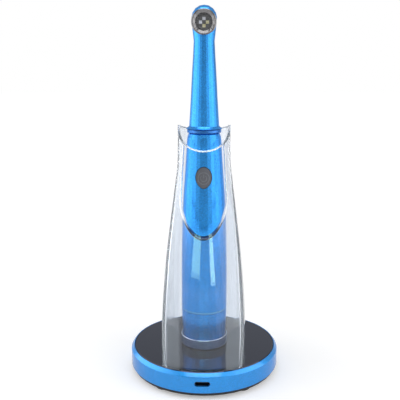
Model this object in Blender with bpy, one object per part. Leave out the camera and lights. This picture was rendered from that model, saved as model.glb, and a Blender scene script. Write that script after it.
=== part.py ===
"""A pen-shaped cordless curing light standing in a clear holder on a round wireless charging base.

Metres, +Z up. The origin is the centre of the plane that the four feet stand on, and the port faces -Y.
Base sizes are heights above that plane. Pen and holder sizes are heights above the base's top plate.
"""

import math

import bmesh
import bpy
from mathutils import Matrix, Vector

MM = 0.001
GAP = 0.3 * MM  # between pieces that touch

# --- Base ---------------------------------------------------------------------------------------
BASE_HEIGHT = 15.0 * MM  # feet to the top plate's face
RIM_RADIUS = 44.2 * MM
RIM_WALL = 2.6 * MM
RIM_CLEARANCE = 3.6 * MM  # the rim's lower edge above the ground
RIM_CHAMFER_WIDTH = 1.8 * MM
RIM_CHAMFER_HEIGHT = 2.1 * MM
RIM_LEDGE = 1.6 * MM  # width of the ledge that carries the top plate
RIM_FLANGE_WIDTH = 5.2 * MM  # inner flange that takes the base screws
RIM_FLANGE_HEIGHT = 2.0 * MM
TOP_PLATE_THICKNESS = 2.0 * MM
COVER_THICKNESS = 1.7 * MM
COVER_INSET = 1.1 * MM  # how far the cover's edge stands in from the rim's
FOOT_RADIUS = 5.2 * MM
FOOT_TAPER = 0.7 * MM
FOOT_RECESS = 0.8 * MM
FOOT_CIRCLE = 36.7 * MM
FOOT_ANGLE = math.radians(37)  # from the front-to-back line
SCREW_ANGLE = math.radians(20)  # from the side-to-side line
SCREW_HEAD_RADIUS = 1.6 * MM
SCREW_SHANK_RADIUS = 0.9 * MM
SCREW_HEAD_HEIGHT = 1.0 * MM
BOARD_RADIUS = 34.0 * MM
BOARD_THICKNESS = 1.1 * MM
STANDOFF_RADIUS = 2.0 * MM
STANDOFF_CIRCLE = 29.0 * MM
COIL_RADIUS = 21.6 * MM
COIL_BORE = 8.0 * MM
COIL_THICKNESS = 1.0 * MM
FERRITE_THICKNESS = 0.8 * MM
CARRIER_WALL = 1.3 * MM
CARRIER_FLOOR = 1.0 * MM

# --- USB-C port: the mouth and shell have the connector standard's sizes --------------------------
PORT_WIDTH = 8.94 * MM
PORT_HEIGHT = 3.26 * MM
PORT_SHELL_WALL = 0.3 * MM
PORT_LENGTH = 7.3 * MM
PORT_CENTRE = 9.2 * MM  # above the ground
PORT_TONGUE_WIDTH = 6.69 * MM
PORT_TONGUE_THICKNESS = 0.7 * MM
PORT_BACK_WALL = 1.6 * MM
SLOT_WIDTH = 8.7 * MM
SLOT_HEIGHT = 2.9 * MM
SLOT_WALL = 1.2 * MM  # what the rim keeps in front of the connector

# --- Dock ring and clear holder ---------------------------------------------------------------------
DOCK_RING_WALL = 1.0 * MM
DOCK_RING_HEIGHT = 6.0 * MM
HOLDER_GROOVE = 1.0 * MM  # depth of the groove in the top plate
HOLDER_LOW = -HOLDER_GROOVE + GAP  # the foot's underside, below the plate's face
HOLDER_SIDE_PEAK = 132.2 * MM
HOLDER_FRONT_DIP = 13.7 * MM  # how far the rim dips at the front
HOLDER_BACK_DIP = 3.5 * MM
HOLDER_DIP_SHAPE = 0.9  # 1 is a wide dip with pointed sides, 2 a narrow one
HOLDER_WALL_FOOT = 2.4 * MM
HOLDER_WALL_TOP = 1.35 * MM
HOLDER_CORNER = 1.2 * MM  # softness of the plan's four corners
HOLDER_CORNER_TURN = 0.03  # half the turn that a corner takes, in radians
HOLDER_SIDE_RADIUS = 304.0 * MM  # the sides bow out slightly in plan
HOLDER_BRIDGE = 1.3 * MM  # the strip of rim left above the window
WINDOW_HALF_WIDTH = 11.6 * MM
WINDOW_TOP_HALF_WIDTH = 10.0 * MM
WINDOW_BEND = 92.0 * MM  # where the window's straight sides turn into its rounded end
WINDOW_END = 20.7 * MM  # how far the rounded end reaches below that
WINDOW_END_SHAPE = 0.9  # 1 is half an ellipse, less is fuller
WINDOW_END_FACE = 26.0 * MM  # the depth from the axis where it is measured
WINDOW_LIP_SLOPE = 0.6  # how steeply the end's lip rises inwards
WINDOW_STRAIGHT_SHARE = 0.6  # how much of a side's edge is straight, down to halfway round the end
# (height, half width) and (height, half depth) of the holder's outside
HOLDER_WIDTHS = (
    (0.0, 24.8), (14.0, 24.8), (30.0, 24.1), (48.0, 22.7), (61.0, 21.4), (79.0, 19.2), (92.0, 17.6),
    (103.0, 16.3), (109.0, 15.6), (120.0, 15.3), (134.0, 15.2),
)
HOLDER_DEPTHS = (
    (0.0, 41.0), (14.0, 39.4), (40.0, 34.4), (60.0, 28.8), (80.0, 22.6), (96.0, 18.2), (109.0, 16.3),
    (120.0, 15.7), (134.0, 15.6),
)

# --- Handset -----------------------------------------------------------------------------------------
HANDSET_BOTTOM = GAP
END_CAP_FOOT_RADIUS = 12.7 * MM
END_CAP_TOP = 21.9 * MM
END_CAP_FLOOR = 1.7 * MM
SPIGOT_HEIGHT = 5.1 * MM
SPIGOT_WALL = 1.0 * MM
SEAL_HEIGHT = 0.6 * MM
BODY_TOP = 127.2 * MM
BODY_WALL = 1.3 * MM
BODY_TOP_WEB = 2.7 * MM
# (height, radius) of the handset's outside, from the seam to the shoulder
BODY_STATIONS = (
    (21.9, 13.5), (40.0, 13.48), (62.0, 13.25), (76.0, 12.85), (87.0, 12.35), (96.0, 11.7), (106.0, 10.95),
    (113.0, 10.4), (119.0, 10.1), (123.0, 9.85), (125.4, 9.5), (126.6, 9.05),
)
COLLAR_RADIUS = 9.78 * MM
COLLAR_HEIGHT = 1.8 * MM
BUSH_RADIUS = 6.4 * MM
BUSH_FLANGE_RADIUS = 8.0 * MM
BUSH_FLANGE_HEIGHT = 1.8 * MM
SHAFT_RADIUS = 5.0 * MM
SHAFT_BORE = 3.4 * MM
SHAFT_BOTTOM = 117.6 * MM
SHAFT_TOP = 141.0 * MM
CLIP_HEIGHT = 0.7 * MM
CLIP_RADIUS = 6.9 * MM
CLIP_GROOVE_DEPTH = 0.6 * MM

CELL_RADIUS = 9.15 * MM  # an 18 mm lithium cell, 50 mm long
CELL_LENGTH = 50.0 * MM
CELL_CLEARANCE = 0.3 * MM
BATTERY_CARRIER_WALL = 1.3 * MM
BATTERY_SPRING_HEIGHT = 3.0 * MM
SPRING_WIRE = 0.45 * MM
SPRING_TURNS = 3
CONTACT_THICKNESS = 0.6 * MM
RECEIVE_COIL_BORE = 4.0 * MM

CONTROL_BOARD_WIDTH = 14.0 * MM
CONTROL_BOARD_THICKNESS = 1.0 * MM
CONTROL_BOARD_TOP = 116.8 * MM
CONTROL_BOARD_BACK = -1.0 * MM
SWITCH_SIZE = 6.0 * MM
SWITCH_DEPTH = 2.6 * MM
SWITCH_PLUNGER_RADIUS = 1.6 * MM
SWITCH_PLUNGER_LENGTH = 0.6 * MM

BUTTON_HEIGHT = 11.9 * MM
BUTTON_WIDTH = 9.0 * MM
BUTTON_CENTRE = 102.8 * MM
BUTTON_PROUD = 0.45 * MM
BUTTON_TRAVEL = 0.8 * MM
BUTTON_FLANGE = 0.8 * MM  # how far the flange reaches under the body's wall
BUTTON_FLANGE_THICKNESS = 0.8 * MM
BUTTON_POINT = 0.16  # how much the lower end narrows

# --- Neck and head -------------------------------------------------------------------------------------
NECK_BOTTOM = 129.6 * MM
SKIRT_RADIUS = 10.5 * MM
NECK_WALL = 1.2 * MM
NECK_BORE = 2.9 * MM
# (height, radius) of the neck's outside, from the skirt's root up to the head
NECK_STATIONS = (
    (131.2, 8.6), (136.0, 8.3), (145.7, 7.65), (157.0, 7.05), (168.0, 6.4), (176.0, 5.85), (181.0, 5.95),
    (186.0, 6.7),
)
DOME_CENTRE = 190.5 * MM
DOME_RADIUS = 7.1 * MM
HEAD_HEIGHT = 187.9 * MM  # the lens's axis
BARREL_RADIUS = 6.9 * MM
BARREL_LENGTH = 7.4 * MM
HEAD_BORE = 5.8 * MM
HEAD_BORE_DEPTH = 10.6 * MM
BEZEL_RADIUS = 6.96 * MM
BEZEL_DEPTH = 1.9 * MM
BEZEL_LIP = 1.0 * MM
WINDOW_GLASS_RADIUS = 5.1 * MM
WINDOW_GLASS_THICKNESS = 0.9 * MM
GLASS_OPENING = 4.7 * MM
BEZEL_NOTCHES = 14
REFLECTOR_DEPTH = 1.8 * MM
REFLECTOR_THROAT = 4.0 * MM
LED_BOARD_THICKNESS = 0.8 * MM
LED_CHIP_SIZE = 1.7 * MM
LED_CHIP_HEIGHT = 0.5 * MM
LED_CIRCLE = 1.9 * MM
SPREADER_DEPTH = 5.0 * MM
LEAD_RADIUS = 1.3 * MM

# --- Facets ----------------------------------------------------------------------------------------------
FINE = 32
MEDIUM = 20
COARSE = 12
WIDE = 44
HOLDER_ARC_STEPS = 10  # across the front, and across the back
HOLDER_SIDE_STEPS = 3
HOLDER_CORNER_STEPS = 2
HOLDER_ROWS = 12
HOLDER_RINGS = 3  # between the window's edge and the edge of the front panel
HOLDER_EDGE_STEPS = 3


# --- Modelling helpers ----------------------------------------------------------------------------------


def clear_scene():
    for obj in list(bpy.data.objects):
        bpy.data.objects.remove(obj, do_unlink=True)


def material(name, color, metallic, roughness, transmission=0.0):
    made = bpy.data.materials.new(name)
    made.use_nodes = True
    shader = made.node_tree.nodes["Principled BSDF"]
    shader.inputs["Base Color"].default_value = (*color, 1.0)
    shader.inputs["Metallic"].default_value = metallic
    shader.inputs["Roughness"].default_value = roughness
    shader.inputs["Transmission Weight"].default_value = transmission
    return made


def finish(name, bm, finish_material, parent=None, location=(0, 0, 0), rotation=(0, 0, 0)):
    """Turn a closed bmesh into a placed object with smooth round faces and sharp edges."""
    bmesh.ops.recalc_face_normals(bm, faces=bm.faces)
    mesh = bpy.data.meshes.new(name)
    bm.to_mesh(mesh)
    bm.free()
    mesh.shade_smooth()
    mesh.set_sharp_from_angle(angle=math.radians(32))
    obj = bpy.data.objects.new(name, mesh)
    bpy.context.collection.objects.link(obj)
    if finish_material:
        mesh.materials.append(finish_material)
    obj.parent = parent
    obj.location = location
    obj.rotation_euler = rotation
    return obj


def frame_at(name, location, parent=None):
    """An empty that carries one assembly."""
    empty = bpy.data.objects.new(name, None)
    bpy.context.collection.objects.link(empty)
    empty.parent = parent
    empty.location = location
    return empty


def ring_of(bm, radius, height, sides):
    """A ring of vertices, or one vertex on the axis."""
    if radius <= 0:
        return [bm.verts.new((0, 0, height))]
    turns = [2 * math.pi * i / sides for i in range(sides)]
    return [bm.verts.new((radius * math.cos(t), radius * math.sin(t), height)) for t in turns]


def skin(bm, first, second):
    """Join two rings, or a ring and a point, with faces."""
    sides = max(len(first), len(second))
    for i in range(sides):
        j = (i + 1) % sides
        corners = [first[i % len(first)], first[j % len(first)]]
        corners += [second[j % len(second)], second[i % len(second)]]
        bm.faces.new(list(dict.fromkeys(corners)))


def turned(name, profile, finish_material, sides=FINE, **placing):
    """A turned piece. A profile with no point on the axis is closed into a ring."""
    bm = bmesh.new()
    rings = [ring_of(bm, radius, height, sides) for radius, height in profile]
    for first, second in zip(rings, rings[1:]):
        skin(bm, first, second)
    if all(radius > 0 for radius, _ in profile):
        skin(bm, rings[-1], rings[0])
    return finish(name, bm, finish_material, **placing)


def prism(name, outline, low, high, finish_material, **placing):
    """An outline of (x, y) points raised from low to high along Z."""
    bm = bmesh.new()
    floor = [bm.verts.new((x, y, low)) for x, y in outline]
    roof = [bm.verts.new((x, y, high)) for x, y in outline]
    skin(bm, floor, roof)
    bm.faces.new(floor)
    bm.faces.new(roof)
    return finish(name, bm, finish_material, **placing)


def box(name, low, high, finish_material, **placing):
    outline = [(low[0], low[1]), (high[0], low[1]), (high[0], high[1]), (low[0], high[1])]
    return prism(name, outline, low[2], high[2], finish_material, **placing)


def combine(target, tool, operation):
    """Cut, join or intersect with a helper object, which is left out of the model itself."""
    modifier = target.modifiers.new(f"{operation.lower()} {tool.name}", "BOOLEAN")
    modifier.operation = operation
    modifier.solver = "EXACT"
    modifier.object = tool
    tool.hide_render = True
    tool.display_type = "WIRE"


def stadium(width, height, steps=6):
    """A slot outline with round ends."""
    radius = height / 2
    reach = width / 2 - radius
    points = []
    for side, start in ((1, -90), (-1, 90)):
        for i in range(steps + 1):
            angle = math.radians(start + 180 * i / steps)
            points.append((side * reach + radius * math.cos(angle), radius * math.sin(angle)))
    return points


def curve_through(stations, height):
    """A smooth curve through (height, size) stations in millimetres, read at a height in metres."""
    at = height / MM
    last = len(stations) - 1
    i = min(max(sum(at >= station[0] for station in stations) - 1, 0), last - 1)
    h0, h1 = stations[i][0], stations[i + 1][0]
    s0, s1 = stations[i][1], stations[i + 1][1]

    def slope(k):
        before, after = stations[max(k - 1, 0)], stations[min(k + 1, last)]
        return (after[1] - before[1]) / (after[0] - before[0])

    t = min(max((at - h0) / (h1 - h0), 0.0), 1.0)
    span = h1 - h0
    value = (2 * t**3 - 3 * t**2 + 1) * s0 + (t**3 - 2 * t**2 + t) * span * slope(i)
    value += (3 * t**2 - 2 * t**3) * s1 + (t**3 - t**2) * span * slope(i + 1)
    return value * MM


def between(low, high, share):
    return low + (high - low) * share


def stepped(low, high, steps):
    return [between(low, high, i / steps) for i in range(steps + 1)]


# --- Base -----------------------------------------------------------------------------------------------

PLATE_RADIUS = RIM_RADIUS - RIM_CHAMFER_WIDTH - GAP
PLATE_BOTTOM = BASE_HEIGHT - TOP_PLATE_THICKNESS
RIM_INSIDE = RIM_RADIUS - RIM_WALL
COVER_TOP = RIM_CLEARANCE - GAP
COVER_BOTTOM = COVER_TOP - COVER_THICKNESS
COVER_RADIUS = RIM_RADIUS - COVER_INSET
FLANGE_TOP = RIM_CLEARANCE + RIM_FLANGE_HEIGHT
SCREW_CIRCLE = RIM_INSIDE - RIM_FLANGE_WIDTH / 2
BOARD_TOP = PORT_CENTRE - PORT_HEIGHT / 2 - GAP
BOARD_BOTTOM = BOARD_TOP - BOARD_THICKNESS
PORT_FRONT = -(RIM_RADIUS - SLOT_WALL - GAP)
SHELF_REACH = PORT_WIDTH / 2 + 1.5 * MM  # half width of the board's shelf under the port
COIL_TOP = PLATE_BOTTOM - GAP
FERRITE_TOP = COIL_TOP - COIL_THICKNESS - GAP
CARRIER_FLOOR_TOP = FERRITE_TOP - FERRITE_THICKNESS - GAP


def rim_profile():
    ledge_top = PLATE_BOTTOM - GAP
    seat = RIM_RADIUS - RIM_CHAMFER_WIDTH
    ledge_edge = seat - RIM_LEDGE - GAP
    return [
        (RIM_RADIUS - 0.5 * MM, RIM_CLEARANCE),
        (RIM_RADIUS, RIM_CLEARANCE + 0.5 * MM),
        (RIM_RADIUS, BASE_HEIGHT - RIM_CHAMFER_HEIGHT),
        (seat + 0.2 * MM, BASE_HEIGHT),
        (seat, BASE_HEIGHT - 0.1 * MM),
        (seat, ledge_top),
        (ledge_edge, ledge_top),
        (ledge_edge, ledge_top - 0.8 * MM),
        (RIM_INSIDE, ledge_top - 1.4 * MM),
        (RIM_INSIDE, FLANGE_TOP),
        (RIM_INSIDE - RIM_FLANGE_WIDTH, FLANGE_TOP),
        (RIM_INSIDE - RIM_FLANGE_WIDTH, RIM_CLEARANCE),
    ]


def front_cutter(name, outline, height, near, far):
    """An outline in the X-Z plane, extruded along Y from near to far."""
    placing = {"location": (0, 0, height), "rotation": (math.radians(90), 0, 0)}
    return prism(name, outline, -far, -near, None, **placing)


def screw_places():
    turns = [SCREW_ANGLE, math.pi - SCREW_ANGLE, math.pi + SCREW_ANGLE, -SCREW_ANGLE]
    return [(SCREW_CIRCLE * math.cos(t), SCREW_CIRCLE * math.sin(t)) for t in turns]


def foot_places():
    turns = [side * math.pi / 2 + turn for side in (1, -1) for turn in (FOOT_ANGLE, -FOOT_ANGLE)]
    return [(FOOT_CIRCLE * math.cos(t), FOOT_CIRCLE * math.sin(t)) for t in turns]


def standoff_places():
    turns = [math.radians(45 + 90 * i) for i in range(4)]
    return [(STANDOFF_CIRCLE * math.cos(t), STANDOFF_CIRCLE * math.sin(t)) for t in turns]


def post(name, radius, low, high, place, sides=COARSE):
    profile = [(0, high), (radius, high), (radius, low), (0, low)]
    return turned(name, profile, None, sides, location=(*place, 0))


def make_rim(finish_material):
    rim = turned("base_rim", rim_profile(), finish_material, WIDE)
    slot = front_cutter("slot_cutter", stadium(SLOT_WIDTH, SLOT_HEIGHT), PORT_CENTRE, -60 * MM, -30 * MM)
    pocket_outline = stadium(PORT_WIDTH + 2 * GAP, PORT_HEIGHT + 2 * GAP)
    pocket = front_cutter("pocket_cutter", pocket_outline, PORT_CENTRE, PORT_FRONT - GAP, -30 * MM)
    combine(rim, slot, "DIFFERENCE")
    combine(rim, pocket, "DIFFERENCE")
    for i, place in enumerate(screw_places()):
        radius = SCREW_SHANK_RADIUS + GAP
        hole = post(f"rim_hole_{i}", radius, RIM_CLEARANCE - MM, FLANGE_TOP + MM, place)
        combine(rim, hole, "DIFFERENCE")


def make_bottom_cover(finish_material):
    """A dished cover under the rim, with a locating wall inside the flange and posts for the board."""
    edge = 0.4 * MM
    wall = RIM_INSIDE - RIM_FLANGE_WIDTH - GAP
    wall_top = FLANGE_TOP - 0.6 * MM
    profile = [
        (0, COVER_TOP),
        (wall - 1.2 * MM, COVER_TOP),
        (wall - 1.2 * MM, wall_top),
        (wall, wall_top),
        (wall, COVER_TOP),
        (COVER_RADIUS, COVER_TOP),
        (COVER_RADIUS, COVER_BOTTOM + edge),
        (COVER_RADIUS - edge, COVER_BOTTOM),
        (0, COVER_BOTTOM),
    ]
    cover = turned("bottom_cover", profile, finish_material, WIDE)
    for i, place in enumerate(standoff_places()):
        top = BOARD_BOTTOM - GAP
        standoff = post(f"standoff_{i}", STANDOFF_RADIUS, COVER_BOTTOM + 0.5 * MM, top, place)
        combine(cover, standoff, "UNION")
    for i, place in enumerate(foot_places()):
        recess_radius = FOOT_RADIUS + GAP
        low, high = COVER_BOTTOM - MM, COVER_BOTTOM + FOOT_RECESS
        combine(cover, post(f"foot_recess_{i}", recess_radius, low, high, place), "DIFFERENCE")
    for i, place in enumerate(screw_places()):
        shank = SCREW_SHANK_RADIUS + GAP
        head = SCREW_HEAD_RADIUS + GAP
        step = COVER_BOTTOM + SCREW_HEAD_HEIGHT + GAP
        profile = [(0, COVER_TOP + MM), (shank, COVER_TOP + MM), (shank, step), (head, step)]
        profile += [(head, COVER_BOTTOM - MM), (0, COVER_BOTTOM - MM)]
        hole = turned(f"cover_hole_{i}", profile, None, COARSE, location=(*place, 0))
        combine(cover, hole, "DIFFERENCE")


def make_feet(finish_material):
    top = COVER_BOTTOM + FOOT_RECESS - GAP
    profile = [
        (0, top),
        (FOOT_RADIUS, top),
        (FOOT_RADIUS, COVER_BOTTOM / 2),
        (FOOT_RADIUS - FOOT_TAPER, 0),
        (0, 0),
    ]
    for i, place in enumerate(foot_places()):
        turned(f"foot_{i + 1}", profile, finish_material, 24, location=(*place, 0))


def make_base_screws(finish_material):
    head_top = COVER_BOTTOM + SCREW_HEAD_HEIGHT
    shank_top = FLANGE_TOP - 0.2 * MM
    profile = [
        (0, shank_top),
        (SCREW_SHANK_RADIUS, shank_top),
        (SCREW_SHANK_RADIUS, head_top),
        (SCREW_HEAD_RADIUS, head_top),
        (SCREW_HEAD_RADIUS, COVER_BOTTOM + 0.15 * MM),
        (SCREW_HEAD_RADIUS * 0.5, COVER_BOTTOM + 0.05 * MM),
        (SCREW_HEAD_RADIUS * 0.4, COVER_BOTTOM + 0.5 * MM),
        (0, COVER_BOTTOM + 0.5 * MM),
    ]
    for i, place in enumerate(screw_places()):
        turned(f"base_screw_{i + 1}", profile, finish_material, COARSE, location=(*place, 0))


def make_top_plate(finish_material):
    edge = 0.25 * MM
    profile = [
        (0, BASE_HEIGHT),
        (PLATE_RADIUS - edge, BASE_HEIGHT),
        (PLATE_RADIUS, BASE_HEIGHT - edge),
        (PLATE_RADIUS, PLATE_BOTTOM),
        (0, PLATE_BOTTOM),
    ]
    plate = turned("top_plate", profile, finish_material, WIDE)
    groove = holder_ring("groove_cutter", BASE_HEIGHT - HOLDER_GROOVE, BASE_HEIGHT + MM)
    combine(plate, groove, "DIFFERENCE")


def port_block(name, outline, near, far, finish_material):
    placing = {"location": (0, 0, PORT_CENTRE), "rotation": (math.radians(90), 0, 0)}
    return prism(name, outline, -far, -near, finish_material, **placing)


def make_port(shell_material, tongue_material):
    back = PORT_FRONT + PORT_LENGTH
    shell = port_block("usb_port_shell", stadium(PORT_WIDTH, PORT_HEIGHT), PORT_FRONT, back, shell_material)
    inner = stadium(PORT_WIDTH - 2 * PORT_SHELL_WALL, PORT_HEIGHT - 2 * PORT_SHELL_WALL)
    hollow = front_cutter("port_hollow", inner, PORT_CENTRE, PORT_FRONT - MM, back + MM)
    combine(shell, hollow, "DIFFERENCE")
    plug_width = PORT_WIDTH - 2 * PORT_SHELL_WALL - 2 * GAP
    plug_height = PORT_HEIGHT - 2 * PORT_SHELL_WALL - 2 * GAP
    tongue = port_block(
        "usb_port_tongue", stadium(plug_width, plug_height), back - PORT_BACK_WALL, back, tongue_material
    )
    half_width = PORT_TONGUE_WIDTH / 2
    half_thickness = PORT_TONGUE_THICKNESS / 2
    blade = box(
        "tongue_blade",
        (-half_width, PORT_FRONT + 0.9 * MM, PORT_CENTRE - half_thickness),
        (half_width, back - PORT_BACK_WALL / 2, PORT_CENTRE + half_thickness),
        None,
    )
    combine(tongue, blade, "UNION")


def make_charger_board(board_material, chip_material, ferrite_material):
    profile = [(0, BOARD_TOP), (BOARD_RADIUS, BOARD_TOP), (BOARD_RADIUS, BOARD_BOTTOM), (0, BOARD_BOTTOM)]
    board = turned("charger_board", profile, board_material, FINE)
    low = (-SHELF_REACH, PORT_FRONT + 2.2 * MM, BOARD_BOTTOM)
    high = (SHELF_REACH, -BOARD_RADIUS / 2, BOARD_TOP)
    shelf = box("board_shelf", low, high, None)
    combine(board, shelf, "UNION")
    chip_low = BOARD_TOP + GAP
    chip_top = chip_low + 1.1 * MM
    box("charge_controller", (-3.5 * MM, 26 * MM, chip_low), (3.5 * MM, 33 * MM, chip_top), chip_material)
    inductor = [
        (0, chip_low + 3.2 * MM),
        (3.4 * MM, chip_low + 3.2 * MM),
        (3.8 * MM, chip_low + 2.6 * MM),
        (3.8 * MM, chip_low),
        (0, chip_low),
    ]
    turned("power_inductor", inductor, ferrite_material, COARSE, location=(-28.5 * MM, 0, 0))


def coil_profile(bore, radius, low, thickness, turns=4):
    """A flat winding: each turn of wire shows as a step on its upper face."""
    pitch = (radius - bore) / turns
    dip = thickness * 0.3
    points = [(radius, low), (radius, low + thickness - dip)]
    for i in range(turns):
        outer = radius - i * pitch
        points.append((outer - pitch * 0.5, low + thickness))
        points.append((outer - pitch, low + thickness - dip))
    points.append((bore, low))
    return points


def make_transmitter(carrier_material, ferrite_material, coil_material):
    wall_radius = COIL_RADIUS + GAP + CARRIER_WALL
    foot_inside = wall_radius - 3 * MM
    floor = CARRIER_FLOOR_TOP - CARRIER_FLOOR
    carrier = [
        (0, CARRIER_FLOOR_TOP),
        (COIL_RADIUS + GAP, CARRIER_FLOOR_TOP),
        (COIL_RADIUS + GAP, COIL_TOP),
        (wall_radius, COIL_TOP),
        (wall_radius, BOARD_TOP + GAP),
        (foot_inside, BOARD_TOP + GAP),
        (foot_inside, floor),
        (0, floor),
    ]
    turned("coil_carrier", carrier, carrier_material, MEDIUM)
    ferrite_low = FERRITE_TOP - FERRITE_THICKNESS
    ferrite = [(0, FERRITE_TOP), (COIL_RADIUS, FERRITE_TOP), (COIL_RADIUS, ferrite_low), (0, ferrite_low)]
    turned("transmit_ferrite", ferrite, ferrite_material, MEDIUM)
    coil_low = COIL_TOP - COIL_THICKNESS
    profile = coil_profile(COIL_BORE, COIL_RADIUS, coil_low, COIL_THICKNESS)
    turned("transmit_coil", profile, coil_material, MEDIUM)


# --- Holder and dock ring ----------------------------------------------------------------------------------


def soft_min(a, b, softness):
    """The smaller of two lengths, blended where they are nearly equal."""
    overlap = max(softness - abs(a - b), 0.0) / softness
    return min(a, b) - overlap * overlap * softness / 4


def holder_side(depth, height, inset):
    """Half the holder's width at one depth from the axis: the sides bow out slightly."""
    return curve_through(HOLDER_WIDTHS, height) - inset - depth * depth / (2 * HOLDER_SIDE_RADIUS)


def holder_corner(height, inset):
    """The direction of the corner between the round front and the side. Turn 0 faces the front."""
    radius = curve_through(HOLDER_DEPTHS, height) - inset
    depth = 0.0
    for _ in range(4):
        width = min(holder_side(depth, height, inset), 0.975 * radius)
        depth = math.sqrt(radius * radius - width * width)
    return math.asin(width / radius)


def holder_radius(turn, height, inset):
    """The holder's outside at one height and direction, moved in by inset."""
    sine = max(abs(math.sin(turn)), 0.001)
    radius = curve_through(HOLDER_DEPTHS, height) - inset
    depth = min(holder_side(0.0, height, inset) * abs(math.cos(turn)) / sine, radius)
    return soft_min(radius, holder_side(depth, height, inset) / sine, HOLDER_CORNER)


def holder_point(turn, height, inset):
    radius = holder_radius(turn, height, inset)
    return Vector((radius * math.sin(turn), -radius * math.cos(turn), height))


def holder_wall(height):
    return between(HOLDER_WALL_FOOT, HOLDER_WALL_TOP, min(max(height / HOLDER_SIDE_PEAK, 0.0), 1.0))


def holder_rim_height(turn):
    """The rim dips in a deep curve at the front and a shallow one at the back."""
    facing = math.cos(turn)
    dip = HOLDER_FRONT_DIP if facing > 0 else HOLDER_BACK_DIP
    return HOLDER_SIDE_PEAK - dip * abs(facing) ** HOLDER_DIP_SHAPE


def front_edge(height, inset):
    """The direction where the round front gives way to the soft corner."""
    return holder_corner(height, inset) - HOLDER_CORNER_TURN


def side_turns(height, inset):
    """Directions from the front's right edge round the sides and back to its left edge."""
    corner = holder_corner(height, inset)
    soft = HOLDER_CORNER_TURN
    side = stepped(corner - soft, corner + soft, HOLDER_CORNER_STEPS)
    side += stepped(corner + soft, math.pi - corner - soft, HOLDER_SIDE_STEPS)[1:-1]
    side += stepped(math.pi - corner - soft, math.pi - corner + soft, HOLDER_CORNER_STEPS)
    back = stepped(side[-1], 2 * math.pi - side[-1], HOLDER_ARC_STEPS)[1:-1]
    return side + back + [2 * math.pi - turn for turn in side[::-1]]


def holder_ring(name, low, high):
    """A ring that follows the holder's foot with a gap all round, to cut its groove."""
    bm = bmesh.new()
    rings = []
    inner = HOLDER_WALL_FOOT + GAP
    for inset, level in ((-GAP, low), (-GAP, high), (inner, high), (inner, low)):
        edge = front_edge(0.0, inset)
        turns = side_turns(0.0, inset) + stepped(-edge, edge, HOLDER_ARC_STEPS)[1:-1]
        points = [holder_point(turn, 0.0, inset) for turn in turns]
        rings.append([bm.verts.new((point.x, point.y, level)) for point in points])
    for first, second in zip(rings, rings[1:] + rings[:1]):
        skin(bm, first, second)
    return finish(name, bm, None)


def holder_place(turn_at, share, inward):
    """The point a share of the way up from the foot, in the direction that turn_at gives for a height."""
    height = between(HOLDER_LOW, HOLDER_SIDE_PEAK, share)
    for _ in range(4):
        inset = holder_wall(height) if inward else 0.0
        turn = turn_at(height, inset)
        height = between(HOLDER_LOW, holder_rim_height(turn), share)
    return holder_point(turn, height, inset)


def front_place(across, share, inward):
    """A point of the front panel. Across runs from -1 at its left edge to 1 at its right edge."""
    return holder_place(lambda height, inset: across * front_edge(height, inset), share, inward)


def side_place(column, share, inward):
    return holder_place(lambda height, inset: side_turns(height, inset)[column], share, inward)


def window_end(reach, end, angle):
    """A point of the window's rounded end, as (x, height): the angle runs from one side to the other."""
    across = math.copysign(abs(math.cos(angle)) ** WINDOW_END_SHAPE, math.cos(angle))
    return -reach * across, WINDOW_BEND - end * math.sin(angle) ** WINDOW_END_SHAPE


def window_edge(depth):
    """The window's outline at one depth, as (x, height) points: its end's lip rises inwards."""
    grow = holder_wall(WINDOW_BEND) / 2
    mouth = HOLDER_DEPTHS[-1][1] * MM
    wide = WINDOW_TOP_HALF_WIDTH + grow
    top = [
        (x, holder_rim_height(math.asin(x / mouth)) - HOLDER_BRIDGE + grow)
        for x in stepped(wide, -wide, HOLDER_ARC_STEPS)
    ]
    end = WINDOW_END + grow + (depth - WINDOW_END_FACE) * WINDOW_LIP_SLOPE
    reach = WINDOW_HALF_WIDTH + grow
    side = []
    for share in stepped(0.0, 1.0, HOLDER_ROWS)[1:-1]:
        down = share / WINDOW_STRAIGHT_SHARE
        if down < 1:
            side.append((between(-wide, -reach, down), between(top[-1][1], WINDOW_BEND, down)))
        else:
            angle = math.radians(45) * (share - WINDOW_STRAIGHT_SHARE) / (1 - WINDOW_STRAIGHT_SHARE)
            side.append(window_end(reach, end, angle))
    angles = stepped(math.radians(45), math.radians(135), HOLDER_ARC_STEPS)
    bottom = [window_end(reach, end, angle) for angle in angles]
    return top + side + bottom + [(-x, height) for x, height in side[::-1]]


def window_loop(inward):
    """The window's edge on one face of the wall, as (across, share) places in the front panel."""
    places = []
    for i in range(len(window_edge(0.0))):
        depth = WINDOW_END_FACE
        for _ in range(4):
            x, height = window_edge(depth)[i]
            inset = holder_wall(height) if inward else 0.0
            radius = curve_through(HOLDER_DEPTHS, height) - inset
            turn = math.asin(x / radius)
            depth = radius * math.cos(turn)
        share = (height - HOLDER_LOW) / (holder_rim_height(turn) - HOLDER_LOW)
        places.append((turn / front_edge(height, inset), share))
    return places


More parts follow.
